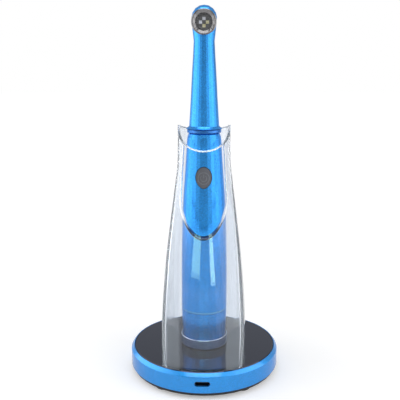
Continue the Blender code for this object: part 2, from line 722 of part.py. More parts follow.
def holder_face(bm, inward):
    """One face of the wall. It returns its top, bottom and window loops."""
    shares = stepped(0.0, 1.0, HOLDER_ROWS)
    columns = range(len(side_turns(0.0, 0.0)))
    grid = [[bm.verts.new(side_place(column, share, inward)) for column in columns] for share in shares]
    for low, high in zip(grid, grid[1:]):
        for i in columns[:-1]:
            bm.faces.new((low[i], low[i + 1], high[i + 1], high[i]))
    across = stepped(1.0, -1.0, HOLDER_ARC_STEPS)[1:-1]
    top = [bm.verts.new(front_place(place, 1.0, inward)) for place in across]
    bottom = [bm.verts.new(front_place(-place, 0.0, inward)) for place in across]
    left = [row[-1] for row in grid[::-1]]
    right = [row[0] for row in grid]
    outer = [right[-1]] + top + left + bottom + right[:-1]
    places = [(1.0, 1.0)] + [(place, 1.0) for place in across] + [(-1.0, share) for share in shares[::-1]]
    places += [(-place, 0.0) for place in across] + [(1.0, share) for share in shares[:-1]]
    window = window_loop(inward)
    rings = []
    for t in stepped(0.0, 1.0, HOLDER_RINGS)[:-1]:
        ring = [(between(a[0], b[0], t), between(a[1], b[1], t)) for a, b in zip(window, places)]
        rings.append([bm.verts.new(front_place(place[0], place[1], inward)) for place in ring])
    rings.append(outer)
    for first, second in zip(rings, rings[1:]):
        skin(bm, first, second)
    return grid[-1] + top[::-1], grid[0] + bottom, rings[0]


def rounded_edge(bm, outside, inside, sign):
    """Join two matching loops of the wall's edge with a half round."""
    middles = [(outer.co + inner.co) / 2 for outer, inner in zip(outside, inside)]
    rows = [outside]
    for step in range(1, HOLDER_EDGE_STEPS):
        angle = math.pi * step / HOLDER_EDGE_STEPS
        row = []
        for i, middle in enumerate(middles):
            reach = (outside[i].co - inside[i].co) / 2
            along = middles[(i + 1) % len(middles)] - middles[i - 1]
            out = along.cross(reach).normalized() * sign
            row.append(bm.verts.new(middle + reach * math.cos(angle) + out * reach.length * math.sin(angle)))
        rows.append(row)
    rows.append(inside)
    for first, second in zip(rows, rows[1:]):
        skin(bm, first, second)


def make_holder(finish_material, base):
    bm = bmesh.new()
    outer_top, outer_bottom, outer_window = holder_face(bm, inward=False)
    inner_top, inner_bottom, inner_window = holder_face(bm, inward=True)
    skin(bm, outer_bottom, inner_bottom)
    rounded_edge(bm, outer_top, inner_top, 1)
    rounded_edge(bm, outer_window, inner_window, 1)
    finish("holder", bm, finish_material, parent=base)


def make_dock_ring(finish_material, base):
    inside = END_CAP_FOOT_RADIUS + GAP
    outside = inside + DOCK_RING_WALL
    edge = 0.3 * MM
    low = GAP
    high = DOCK_RING_HEIGHT
    profile = [
        (outside, low),
        (outside, high - edge),
        (outside - edge, high),
        (inside + edge, high),
        (inside, high - edge),
        (inside, low),
    ]
    turned("dock_ring", profile, finish_material, FINE, parent=base)


# --- Handset -----------------------------------------------------------------------------------------------

SEAM_RADIUS = BODY_STATIONS[0][1] * MM
BODY_BOTTOM = END_CAP_TOP + SEAL_HEIGHT + 2 * GAP
BODY_BORE = SEAM_RADIUS - BODY_WALL
SPIGOT_RADIUS = BODY_BORE - GAP
SPIGOT_TOP = END_CAP_TOP + SPIGOT_HEIGHT
CAP_BORE = SPIGOT_RADIUS - SPIGOT_WALL
COLLAR_BOTTOM = BODY_TOP + GAP
COLLAR_TOP = COLLAR_BOTTOM + COLLAR_HEIGHT
WEB_BOTTOM = BODY_TOP - BODY_TOP_WEB
BUSH_BORE = BUSH_RADIUS + GAP
CARRIER_BOTTOM = SPIGOT_TOP + GAP
CELL_BOTTOM = CARRIER_BOTTOM + 1.0 * MM + 2 * GAP + BATTERY_SPRING_HEIGHT
CELL_TOP = CELL_BOTTOM + CELL_LENGTH
CARRIER_TOP = CELL_TOP + CONTACT_THICKNESS + 2 * GAP
BOARD_LOW = CARRIER_TOP + GAP
BOARD_FRONT = CONTROL_BOARD_BACK - CONTROL_BOARD_THICKNESS


def body_radius(height):
    return curve_through(BODY_STATIONS, height)


def make_end_cap(finish_material, handset):
    side = [
        (curve_through(((2.2, 12.7), (6.0, 12.75), (12.0, 13.15), (17.0, 13.4), (21.9, 13.5)), height), height)
        for height in stepped(2.2 * MM, END_CAP_TOP, 3)
    ]
    foot = END_CAP_FOOT_RADIUS
    floor = HANDSET_BOTTOM + END_CAP_FLOOR
    profile = [(0, HANDSET_BOTTOM), (foot - 1.6 * MM, HANDSET_BOTTOM)]
    profile.append((foot - 0.5 * MM, HANDSET_BOTTOM + 0.6 * MM))
    profile += side
    profile += [
        (SPIGOT_RADIUS, END_CAP_TOP),
        (SPIGOT_RADIUS, SPIGOT_TOP),
        (CAP_BORE, SPIGOT_TOP),
        (CAP_BORE, floor),
        (0, floor),
    ]
    turned("end_cap", profile, finish_material, FINE, parent=handset)


def make_seal(finish_material, handset):
    low = END_CAP_TOP + GAP
    high = low + SEAL_HEIGHT
    outside = SEAM_RADIUS - 0.15 * MM
    inside = SPIGOT_RADIUS + GAP
    profile = [(outside, low), (outside, high), (inside, high), (inside, low)]
    turned("end_cap_seal", profile, finish_material, FINE, parent=handset)


def make_receiver(coil_material, ferrite_material, handset):
    low = HANDSET_BOTTOM + END_CAP_FLOOR + GAP
    radius = CAP_BORE - GAP
    profile = coil_profile(RECEIVE_COIL_BORE, radius, low, COIL_THICKNESS, 4)
    turned("receive_coil", profile, coil_material, 24, parent=handset)
    ferrite_low = low + COIL_THICKNESS + GAP
    ferrite_top = ferrite_low + FERRITE_THICKNESS
    ferrite = [(0, ferrite_top), (radius, ferrite_top), (radius, ferrite_low), (0, ferrite_low)]
    turned("receive_ferrite", ferrite, ferrite_material, MEDIUM, parent=handset)


def egg(width, height, grow=0.0, steps=28):
    """The button's outline: an oval whose lower end is narrower than its upper end."""
    points = []
    for i in range(steps):
        angle = 2 * math.pi * i / steps
        y = (height / 2 + grow) * math.sin(angle)
        narrowing = 1.0 - BUTTON_POINT * max(-math.sin(angle), 0.0) ** 2
        points.append(((width / 2 + grow) * math.cos(angle) * narrowing, y))
    return points


def make_body(finish_material, handset):
    heights = stepped(BODY_BOTTOM, 118.0 * MM, 7) + stepped(121.5 * MM, 126.6 * MM, 3)
    outside = [(body_radius(height), height) for height in heights]
    inner_heights = stepped(BODY_BOTTOM, WEB_BOTTOM, 4)
    inside = [(body_radius(height) - BODY_WALL, height) for height in inner_heights]
    top = [(body_radius(126.6 * MM) - 0.4 * MM, BODY_TOP), (BUSH_BORE, BODY_TOP), (BUSH_BORE, WEB_BOTTOM)]
    body = turned("body_tube", outside + top + inside[::-1], finish_material, FINE, parent=handset)
    outline = egg(BUTTON_WIDTH, BUTTON_HEIGHT, GAP)
    opening = front_cutter("button_opening", outline, BUTTON_CENTRE, -30 * MM, -3 * MM)
    opening.parent = handset
    combine(body, opening, "DIFFERENCE")


def make_battery(cell_material, carrier_material, contact_material, handset):
    cell = [
        (0, CELL_TOP),
        (CELL_RADIUS - 0.4 * MM, CELL_TOP),
        (CELL_RADIUS, CELL_TOP - 0.4 * MM),
        (CELL_RADIUS, CELL_BOTTOM + 0.4 * MM),
        (CELL_RADIUS - 0.4 * MM, CELL_BOTTOM),
        (0, CELL_BOTTOM),
    ]
    turned("battery_cell", cell, cell_material, MEDIUM, parent=handset)
    bore = CELL_RADIUS + CELL_CLEARANCE
    wall = bore + BATTERY_CARRIER_WALL
    floor = CARRIER_BOTTOM + 1.0 * MM
    profile = [
        (0, CARRIER_BOTTOM),
        (BODY_BORE - GAP, CARRIER_BOTTOM),
        (BODY_BORE - GAP, floor),
        (wall, floor + 1.2 * MM),
        (wall, CARRIER_TOP),
        (bore, CARRIER_TOP),
        (bore, floor),
        (0, floor),
    ]
    carrier = turned("battery_carrier", profile, carrier_material, MEDIUM, parent=handset)
    low = (-6 * MM, -14 * MM, floor + 4 * MM)
    high = (6 * MM, -2 * MM, CARRIER_TOP - 5 * MM)
    side = box("carrier_opening", low, high, None, parent=handset)
    combine(carrier, side, "DIFFERENCE")
    plate_low = CELL_TOP + GAP
    plate_top = plate_low + CONTACT_THICKNESS
    radius = CELL_RADIUS - 1 * MM
    plate = [(0, plate_top), (radius, plate_top), (radius, plate_low), (0, plate_low)]
    turned("contact_plate", plate, contact_material, COARSE, parent=handset)
    make_battery_spring(floor + GAP, contact_material, handset)


def make_battery_spring(low, finish_material, handset):
    """A conical spring under the cell, wound from round wire."""
    steps = 10 * SPRING_TURNS
    wire = SPRING_WIRE / 2
    rise = BATTERY_SPRING_HEIGHT - SPRING_WIRE
    curve = bpy.data.curves.new("battery_spring", "CURVE")
    curve.dimensions = "3D"
    curve.bevel_depth = wire
    curve.bevel_resolution = 1
    curve.use_fill_caps = True
    spline = curve.splines.new("POLY")
    spline.points.add(steps)
    for i in range(steps + 1):
        share = i / steps
        turn = 2 * math.pi * SPRING_TURNS * share
        radius = between(6.5 * MM, 3.5 * MM, share)
        height = low + wire + rise * share
        spline.points[i].co = (radius * math.cos(turn), radius * math.sin(turn), height, 1)
    curve.materials.append(finish_material)
    spring = bpy.data.objects.new("battery_spring", curve)
    bpy.context.collection.objects.link(spring)
    spring.parent = handset


def make_control_board(board_material, switch_material, handset):
    half = CONTROL_BOARD_WIDTH / 2
    low = (-half, BOARD_FRONT, BOARD_LOW)
    high = (half, CONTROL_BOARD_BACK, CONTROL_BOARD_TOP)
    box("control_board", low, high, board_material, parent=handset)
    back = BOARD_FRONT - GAP
    front = back - SWITCH_DEPTH
    reach = SWITCH_SIZE / 2
    low = (-reach, front, BUTTON_CENTRE - reach)
    high = (reach, back, BUTTON_CENTRE + reach)
    switch = box("tact_switch", low, high, switch_material, parent=handset)
    profile = [(0, 0), (SWITCH_PLUNGER_RADIUS, 0), (SWITCH_PLUNGER_RADIUS, SWITCH_PLUNGER_LENGTH + MM)]
    profile += [(0, SWITCH_PLUNGER_LENGTH + MM)]
    placing = {"location": (0, front + MM, BUTTON_CENTRE), "rotation": (math.radians(90), 0, 0)}
    plunger = turned("switch_plunger", profile, None, 16, parent=handset, **placing)
    combine(switch, plunger, "UNION")


def make_button(finish_material, handset):
    """A rubber cap whose face follows the body's curve, with a flange that the wall keeps in."""
    plunger_front = BOARD_FRONT - GAP - SWITCH_DEPTH - SWITCH_PLUNGER_LENGTH
    back = plunger_front - BUTTON_TRAVEL - GAP
    flange_front = back - BUTTON_FLANGE_THICKNESS
    placing = {"location": (0, 0, BUTTON_CENTRE), "rotation": (math.radians(90), 0, 0)}
    outline = egg(BUTTON_WIDTH, BUTTON_HEIGHT)
    low = -flange_front - 0.2 * MM
    button = prism("power_button", outline, low, 20 * MM, finish_material, parent=handset, **placing)
    heights = stepped(BUTTON_CENTRE - 9 * MM, BUTTON_CENTRE + 9 * MM, 7)
    face = [(body_radius(height) + BUTTON_PROUD, height) for height in heights]
    profile = [(0, heights[0])] + face + [(0, heights[-1])]
    envelope = turned("button_envelope", profile, None, FINE, parent=handset)
    combine(button, envelope, "INTERSECT")
    flange_outline = egg(BUTTON_WIDTH, BUTTON_HEIGHT, BUTTON_FLANGE)
    flange = prism("button_flange", flange_outline, -back, -flange_front, None, parent=handset, **placing)
    combine(button, flange, "UNION")


def make_swivel_seat(bush_material, collar_material, handset):
    bore = SHAFT_RADIUS + 0.1 * MM
    flange_top = WEB_BOTTOM - GAP
    flange_low = flange_top - BUSH_FLANGE_HEIGHT
    bush = [
        (BUSH_RADIUS, COLLAR_TOP),
        (bore, COLLAR_TOP),
        (bore, flange_low),
        (BUSH_FLANGE_RADIUS, flange_low),
        (BUSH_FLANGE_RADIUS, flange_top),
        (BUSH_RADIUS, flange_top),
    ]
    turned("swivel_bush", bush, bush_material, MEDIUM, parent=handset)
    edge = 0.25 * MM
    collar = [
        (COLLAR_RADIUS - edge, COLLAR_BOTTOM),
        (COLLAR_RADIUS, COLLAR_BOTTOM + edge),
        (COLLAR_RADIUS, COLLAR_TOP - edge),
        (COLLAR_RADIUS - edge, COLLAR_TOP),
        (BUSH_BORE, COLLAR_TOP),
        (BUSH_BORE, COLLAR_BOTTOM),
    ]
    turned("collar_ring", collar, collar_material, FINE, parent=handset)
    return flange_low


# --- Neck and head ----------------------------------------------------------------------------------------


def neck_radius(height):
    return curve_through(NECK_STATIONS, height)


def dome_points(start, steps=5):
    """The rounded top, from the neck's last radius to the axis."""
    first = math.acos(min(start / DOME_RADIUS, 1.0))
    angles = stepped(-first, math.pi / 2, steps)
    points = [(DOME_RADIUS * math.cos(a), DOME_CENTRE + DOME_RADIUS * math.sin(a)) for a in angles[:-1]]
    return points + [(0, DOME_CENTRE + DOME_RADIUS)]


def facing_front(height, depth):
    """Placing for a piece turned about the lens's axis: its local +Z points to the front."""
    return {"location": (0, depth, height), "rotation": (math.radians(90), 0, 0)}


def make_neck(finish_material, neck):
    """One casting: a flared skirt, a tapering neck, a domed head and the barrel for the lens."""
    skirt = [
        (SHAFT_RADIUS + GAP, NECK_BOTTOM),
        (SKIRT_RADIUS - 0.2 * MM, NECK_BOTTOM),
        (SKIRT_RADIUS, NECK_BOTTOM + 0.12 * MM),
        (9.5 * MM, NECK_BOTTOM + 0.75 * MM),
    ]
    outside = [(neck_radius(height), height) for height in stepped(131.2 * MM, 186.0 * MM, 7)]
    dome = dome_points(neck_radius(186.0 * MM))
    shaft_seat = SHAFT_TOP + GAP
    inside = [(0, shaft_seat), (SHAFT_RADIUS + GAP, shaft_seat)]
    housing = turned("neck_housing", inside + skirt + outside + dome, finish_material, FINE, parent=neck)
    barrel = [(0, 0), (BARREL_RADIUS, 0), (BARREL_RADIUS, BARREL_LENGTH), (0, BARREL_LENGTH)]
    tube = turned("barrel", barrel, None, FINE, parent=neck, **facing_front(HEAD_HEIGHT, 0))
    combine(housing, tube, "UNION")
    depth = HEAD_BORE_DEPTH
    bore = [(0, 0), (HEAD_BORE, 0), (HEAD_BORE, depth + MM), (0, depth + MM)]
    bore_place = facing_front(HEAD_HEIGHT, depth - BARREL_LENGTH)
    hole = turned("head_bore", bore, None, 24, parent=neck, **bore_place)
    combine(housing, hole, "DIFFERENCE")
    bore_top = HEAD_HEIGHT - HEAD_BORE + MM
    passage = [(0, bore_top), (NECK_BORE, bore_top), (NECK_BORE, shaft_seat - MM), (0, shaft_seat - MM)]
    combine(housing, turned("lead_passage", passage, None, 24, parent=neck), "DIFFERENCE")


def make_shaft(shaft_material, clip_material, lead_material, clip_top, neck):
    clip_low = clip_top - CLIP_HEIGHT
    groove = SHAFT_RADIUS - CLIP_GROOVE_DEPTH
    shaft = [
        (SHAFT_RADIUS, SHAFT_TOP),
        (SHAFT_BORE, SHAFT_TOP),
        (SHAFT_BORE, SHAFT_BOTTOM),
        (SHAFT_RADIUS, SHAFT_BOTTOM),
        (SHAFT_RADIUS, clip_low - GAP),
        (groove, clip_low - GAP),
        (groove, clip_top + GAP / 2),
        (SHAFT_RADIUS, clip_top + GAP / 2),
    ]
    turned("swivel_shaft", shaft, shaft_material, MEDIUM, parent=neck)
    clip = [(CLIP_RADIUS, clip_low), (CLIP_RADIUS, clip_top)]
    clip += [(groove + GAP, clip_top), (groove + GAP, clip_low)]
    turned("retaining_ring", clip, clip_material, MEDIUM, parent=neck)
    lead_low = CONTROL_BOARD_TOP + GAP
    lead_top = HEAD_HEIGHT - HEAD_BORE + GAP
    lead = [(0, lead_top), (LEAD_RADIUS, lead_top), (LEAD_RADIUS, lead_low), (0, lead_low)]
    turned("head_lead", lead, lead_material, 12, parent=neck)


def make_bezel(finish_material, neck):
    """A turned steel ring whose inner cone is cut with notches all round."""
    bm = bmesh.new()
    sides = BEZEL_NOTCHES * 4
    front = BARREL_LENGTH + GAP + BEZEL_DEPTH
    seat = BARREL_LENGTH + GAP
    glass = WINDOW_GLASS_RADIUS + GAP
    ledge = front - BEZEL_LIP
    section = [
        (BEZEL_RADIUS, seat, 0.0),
        (BEZEL_RADIUS, front - 0.5 * MM, 0.0),
        (BEZEL_RADIUS - 0.4 * MM, front - 0.08 * MM, 0.0),
        (BEZEL_RADIUS - 0.75 * MM, front, 0.0),
        (BEZEL_RADIUS - 1.1 * MM, front - 0.12 * MM, 0.5),
        (GLASS_OPENING + 0.1 * MM, ledge + 0.25 * MM, 0.12),
        (GLASS_OPENING, ledge, 0.0),
        (glass, ledge, 0.0),
        (glass, seat, 0.0),
    ]
    rings = []
    for radius, height, notch in section:
        ring = []
        for i in range(sides):
            turn = 2 * math.pi * i / sides
            reach = radius + (notch * 0.5 * MM if i % 4 in (1, 2) else 0.0)
            ring.append(bm.verts.new((reach * math.cos(turn), reach * math.sin(turn), height)))
        rings.append(ring)
    for first, second in zip(rings, rings[1:] + rings[:1]):
        skin(bm, first, second)
    finish("head_bezel", bm, finish_material, parent=neck, **facing_front(HEAD_HEIGHT, 0))


def make_lamp(materials, neck):
    """What sits in the head's bore, from the glass back to the copper slug."""
    ledge = BARREL_LENGTH + GAP + BEZEL_DEPTH - BEZEL_LIP
    glass_front = ledge - GAP
    glass_back = glass_front - WINDOW_GLASS_THICKNESS
    bore = HEAD_BORE - GAP
    placing = facing_front(HEAD_HEIGHT, 0)
    radius = WINDOW_GLASS_RADIUS
    glass = [(0, glass_front), (radius, glass_front), (radius, glass_back), (0, glass_back)]
    turned("lens_window", glass, materials["glass"], MEDIUM, parent=neck, **placing)

    seal_front = glass_back - GAP
    seal_back = seal_front - 0.5 * MM
    seal = [(bore, seal_front), (GLASS_OPENING, seal_front), (GLASS_OPENING, seal_back), (bore, seal_back)]
    turned("window_seal", seal, materials["rubber"], MEDIUM, parent=neck, **placing)

    cup_front = seal_back - GAP
    cup_back = cup_front - REFLECTOR_DEPTH
    cup = [
        (bore, cup_front),
        (GLASS_OPENING, cup_front),
        (REFLECTOR_THROAT, cup_back),
        (REFLECTOR_THROAT + 0.5 * MM, cup_back),
        (bore, cup_front - 0.5 * MM),
    ]
    turned("reflector", cup, materials["reflector"], MEDIUM, parent=neck, **placing)

    board_front = cup_back - GAP
    board_back = board_front - LED_BOARD_THICKNESS
    board = [(0, board_front), (bore, board_front), (bore, board_back), (0, board_back)]
    turned("led_board", board, materials["board"], MEDIUM, parent=neck, **placing)

    chip_low = board_front + GAP
    half = LED_CHIP_SIZE / 2
    for i, name in enumerate(("led_chip_right", "led_chip_top", "led_chip_left", "led_chip_bottom")):
        turn = math.radians(90 * i)
        x, y = LED_CIRCLE * math.cos(turn), LED_CIRCLE * math.sin(turn)
        low = (x - half, y - half, chip_low)
        high = (x + half, y + half, chip_low + LED_CHIP_HEIGHT)
        box(name, low, high, materials["chip"], parent=neck, **placing)

    slug_front = board_back - GAP
    slug_back = slug_front - SPREADER_DEPTH
    slug = [(0, slug_front), (bore, slug_front), (bore, slug_back), (0, slug_back)]
    spreader = turned("heat_spreader", slug, materials["copper"], MEDIUM, parent=neck, **placing)
    notch_low = (-LEAD_RADIUS - GAP, -slug_front - MM, HEAD_HEIGHT - HEAD_BORE - MM)
    notch_high = (LEAD_RADIUS + GAP, -slug_back + MM, HEAD_HEIGHT - HEAD_BORE + 2 * GAP)
    notch = box("lead_notch", notch_low, notch_high, None, parent=neck)
    combine(spreader, notch, "DIFFERENCE")


# --- Assembly ---------------------------------------------------------------------------------------------


def main():
    clear_scene()
    blue = material("blue anodised aluminium", (0.015, 0.16, 0.62), 0.9, 0.35)
    blue_body = material("blue pearl lacquer", (0.02, 0.2, 0.68), 0.75, 0.38)
    dark_blue = material("dark blue anodised collar", (0.01, 0.06, 0.3), 0.9, 0.35)
    black_glass = material("black glass", (0.006, 0.006, 0.008), 0.0, 0.08)
    black_gloss = material("black gloss plastic", (0.01, 0.01, 0.012), 0.0, 0.15)
    rubber = material("black rubber", (0.02, 0.02, 0.02), 0.0, 0.7)
    button_rubber = material("grey button rubber", (0.08, 0.08, 0.09), 0.0, 0.6)
    clear = material("clear acrylic", (0.95, 0.97, 1.0), 0.0, 0.03, 1.0)
    steel = material("stainless steel", (0.55, 0.55, 0.56), 1.0, 0.2)
    board = material("circuit board", (0.02, 0.16, 0.06), 0.0, 0.5)
    chip = material("chip package", (0.02, 0.02, 0.022), 0.0, 0.5)
    ferrite = material("ferrite", (0.06, 0.055, 0.05), 0.1, 0.6)
    copper = material("copper", (0.72, 0.3, 0.14), 1.0, 0.3)
    brass = material("brass", (0.72, 0.5, 0.2), 1.0, 0.3)
    plastic = material("grey plastic", (0.3, 0.31, 0.32), 0.0, 0.5)
    cell = material("cell wrap", (0.05, 0.28, 0.2), 0.0, 0.4)
    lamp = {
        "glass": material("window glass", (0.98, 0.99, 1.0), 0.0, 0.02, 1.0),
        "rubber": rubber,
        "reflector": material("aluminised reflector", (0.85, 0.86, 0.88), 1.0, 0.15),
        "board": material("white lamp board", (0.7, 0.72, 0.7), 0.0, 0.4),
        "chip": material("lamp chip", (0.75, 0.68, 0.3), 0.0, 0.4),
        "copper": copper,
    }

    make_rim(blue)
    make_top_plate(black_glass)
    make_bottom_cover(black_gloss)
    make_feet(rubber)
    make_base_screws(steel)
    make_port(steel, chip)
    make_charger_board(board, chip, ferrite)
    make_transmitter(plastic, ferrite, copper)

    dock = frame_at("dock", (0, 0, BASE_HEIGHT))
    make_holder(clear, dock)
    make_dock_ring(black_gloss, dock)

    handset = frame_at("handset", (0, 0, BASE_HEIGHT))
    make_end_cap(blue_body, handset)
    make_seal(rubber, handset)
    make_receiver(copper, ferrite, handset)
    make_body(blue_body, handset)
    make_battery(cell, plastic, brass, handset)
    make_control_board(board, chip, handset)
    make_button(button_rubber, handset)
    bush_low = make_swivel_seat(brass, dark_blue, handset)

    neck = frame_at("neck", (0, 0, 0), handset)
    make_neck(blue_body, neck)
    make_shaft(steel, steel, rubber, bush_low - GAP, neck)
    make_bezel(steel, neck)
    make_lamp(lamp, neck)


main()
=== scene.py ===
"""Visual scene for a pen-shaped handset on its round charging base.

The CAD frame is loaded first. Four of its nodes get a finer mesh, every other node gets a procedural
finish, and a plain studio and a camera are set up round them. Lengths are in metres unless a comment
says otherwise.
"""

import math  # noqa: E402

import bmesh  # noqa: E402
import bpy  # noqa: E402
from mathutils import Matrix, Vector  # noqa: E402


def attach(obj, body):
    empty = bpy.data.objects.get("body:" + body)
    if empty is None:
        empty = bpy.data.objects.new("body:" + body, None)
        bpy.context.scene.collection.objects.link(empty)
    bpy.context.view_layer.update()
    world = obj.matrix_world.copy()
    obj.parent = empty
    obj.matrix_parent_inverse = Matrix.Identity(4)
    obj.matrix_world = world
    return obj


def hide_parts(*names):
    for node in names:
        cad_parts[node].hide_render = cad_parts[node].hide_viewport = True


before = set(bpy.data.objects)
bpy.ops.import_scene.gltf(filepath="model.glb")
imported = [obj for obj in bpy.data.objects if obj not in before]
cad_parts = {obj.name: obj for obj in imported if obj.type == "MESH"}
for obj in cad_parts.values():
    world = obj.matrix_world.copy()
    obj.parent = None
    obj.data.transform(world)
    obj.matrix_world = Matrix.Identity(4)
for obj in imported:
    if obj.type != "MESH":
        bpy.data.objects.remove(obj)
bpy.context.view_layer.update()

MM = 0.001
PLATE = 15.0 * MM  # height of the base's top face above the ground

# --- Sizes repeated from the CAD source ------------------------------------------------------------------
# The rim's and the port's heights are above the ground, the others above the base's top face.
GAP = 0.3 * MM
HOLDER_GROOVE = 1.0 * MM
HOLDER_SIDE_PEAK = 132.2 * MM
HOLDER_FRONT_DIP = 13.7 * MM
HOLDER_BACK_DIP = 3.5 * MM
HOLDER_DIP_SHAPE = 0.9
HOLDER_WALL_FOOT = 2.4 * MM
HOLDER_WALL_TOP = 1.35 * MM
HOLDER_LOW = -HOLDER_GROOVE + GAP
HOLDER_CORNER = 1.2 * MM
HOLDER_CORNER_TURN = 0.03
HOLDER_SIDE_RADIUS = 304.0 * MM
HOLDER_BRIDGE = 1.3 * MM
WINDOW_HALF_WIDTH = 11.6 * MM
WINDOW_TOP_HALF_WIDTH = 10.0 * MM
WINDOW_BEND = 92.0 * MM
WINDOW_END = 20.7 * MM
WINDOW_END_SHAPE = 0.9  # 1 is half an ellipse, less is fuller
WINDOW_END_FACE = 26.0 * MM
WINDOW_LIP_SLOPE = 0.6
WINDOW_STRAIGHT_SHARE = 0.6
# (height, half width) of the holder, and (height, radius) of its round front and back, in millimetres
HOLDER_WIDTHS = (
    (0.0, 24.8), (14.0, 24.8), (30.0, 24.1), (48.0, 22.7), (61.0, 21.4), (79.0, 19.2), (92.0, 17.6),
    (103.0, 16.3), (109.0, 15.6), (120.0, 15.3), (134.0, 15.2),
)
HOLDER_DEPTHS = (
    (0.0, 41.0), (14.0, 39.4), (40.0, 34.4), (60.0, 28.8), (80.0, 22.6), (96.0, 18.2), (109.0, 16.3),
    (120.0, 15.7), (134.0, 15.6),
)
# (height, radius) of the handset's outside above its seam, in millimetres
BODY_STATIONS = (
    (21.9, 13.5), (40.0, 13.48), (62.0, 13.25), (76.0, 12.85), (87.0, 12.35), (96.0, 11.7), (106.0, 10.95),
    (113.0, 10.4), (119.0, 10.1), (123.0, 9.85), (125.4, 9.5), (126.6, 9.05),
)
RIM_RADIUS = 44.2 * MM
RIM_INSIDE = 41.6 * MM
RIM_CHAMFER_WIDTH = 1.8 * MM
RIM_CHAMFER_HEIGHT = 2.1 * MM
RIM_CLEARANCE = 3.6 * MM
RIM_LEDGE = 1.6 * MM
RIM_LEDGE_DROPS = (0.8 * MM, 1.4 * MM)  # from its top to the foot of its edge, and of the slope below that
RIM_FLANGE_WIDTH = 5.2 * MM
RIM_FLANGE_TOP = 5.6 * MM
PLATE_BOTTOM = 13.0 * MM
PORT_CENTRE = 9.2 * MM
PORT_FRONT = -42.7 * MM
SLOT_SIZE = (8.7 * MM, 2.9 * MM)
PORT_SIZE = (8.94 * MM, 3.26 * MM)
SCREW_CIRCLE = 39.0 * MM
SCREW_ANGLE = math.radians(20)  # from the side-to-side line
SCREW_HOLE_RADIUS = 1.2 * MM
DOCK_RING = (13.0 * MM, 14.0 * MM)  # radii
DOCK_RING_HEIGHT = 6.0 * MM
COLLAR = (6.7 * MM, 9.78 * MM)  # radii
COLLAR_HEIGHTS = (127.5 * MM, 129.3 * MM)
BUTTON_CENTRE = 102.8 * MM
BUTTON_PROUD = 0.45 * MM
HEAD_HEIGHT = 187.9 * MM

# --- Numbers that only this scene uses -------------------------------------------------------------------
SHARP_TURN = 32.0  # degrees: edges that turn further stay sharp
HOLDER_SHARP_TURN = 60.0
SYMBOL_SHARP_TURN = 40.0
SETTLING = 4  # repeats for a height, depth or direction that depends on itself
HOLDER_ARC_STEPS = 40  # across the holder's front, and across its back
HOLDER_SIDE_STEPS = 8
HOLDER_CORNER_STEPS = 6
HOLDER_ROWS = 60
HOLDER_RINGS = 14  # between the window's edge and the edge of the front panel
HOLDER_EDGE_STEPS = 8
EDGE_SQUARENESS = 0.45  # 1 is a half round, 0 a flat with sharp corners
HOLDER_WIDEST_FRONT = 0.975  # the most that the round front spans of its own radius
ROUND_STEPS = 5  # along each softened corner of a turned piece
RIM_SIDES = 176
RIM_SOFT_FOOT = 0.5 * MM  # how far each corner is softened
RIM_SOFT = 0.3 * MM
RIM_EDGE_BREAK = 0.1 * MM
RING_SIDES = 128
DOCK_SOFT = 0.45 * MM
DOCK_HIGHLIGHT_BAND = (0.4 * MM, 0.3 * MM)  # width and height of the pale metal band on its top edge, a painted highlight
COLLAR_SOFT = 0.3 * MM
TOOL_NEAR = -60.0 * MM  # the slot's tool begins here, and both of the port's tools end at TOOL_FAR
TOOL_FAR = -30.0 * MM
TOOL_END_STEPS = 12  # round each end of those tools
SCREW_HOLE_SIDES = 24
BEAD_WIDTH = 0.36 * MM
BEAD_RISE = 0.12 * MM
BEAD_PROFILE = ((-1.0, -0.25), (-0.75, 0.62), (-0.3, 1.0), (0.3, 1.0), (0.75, 0.62), (1.0, -0.25))
SYMBOL_DROP = 0.25 * MM  # below the button's centre
SYMBOL_LOOP = (3.15 * MM, 3.3 * MM)  # half width and half height
SYMBOL_ARC = 1.75 * MM
SYMBOL_ARC_START = 32  # degrees from the top
SYMBOL_BAR = (0.3 * MM, 2.3 * MM)  # its ends, above the symbol's middle

# The acrylic, with heights above the ground: the sides begin this far from the middle, low and high up
SIDES_FROM = (12.0 * MM, 8.5 * MM)
SIDES_CHANGE = (80.0 * MM, 105.0 * MM)  # the heights between which the one turns into the other
SIDES_FADE = 1.5 * MM
SIDES_HAZE = 0.05
RIM_HAZE = 0.3
RIM_HAZE_HEIGHTS = (129.0 * MM, 130.5 * MM)
RIM_HAZE_DEPTHS = (-12.0 * MM, -14.0 * MM)
LIP_SHADE_HEIGHTS = (90.5 * MM, 95.5 * MM)  # the painted shade on the window's lip fades out between these


# --- Small helpers ---------------------------------------------------------------------------------------


def between(low, high, share):
    return low + (high - low) * share


def stepped(low, high, steps):
    return [between(low, high, i / steps) for i in range(steps + 1)]


def curve_through(stations, height):
    """A smooth curve through (height, size) stations in millimetres, read at a height in metres."""
    at = height / MM
    last = len(stations) - 1
    i = min(max(sum(at >= station[0] for station in stations) - 1, 0), last - 1)
    h0, h1 = stations[i][0], stations[i + 1][0]
    s0, s1 = stations[i][1], stations[i + 1][1]

    def slope(k):
        before, after = stations[max(k - 1, 0)], stations[min(k + 1, last)]
        return (after[1] - before[1]) / (after[0] - before[0])

    t = min(max((at - h0) / (h1 - h0), 0.0), 1.0)
    span = h1 - h0
    value = (2 * t**3 - 3 * t**2 + 1) * s0 + (t**3 - 2 * t**2 + t) * span * slope(i)
    value += (3 * t**2 - 2 * t**3) * s1 + (t**3 - t**2) * span * slope(i + 1)
    return value * MM


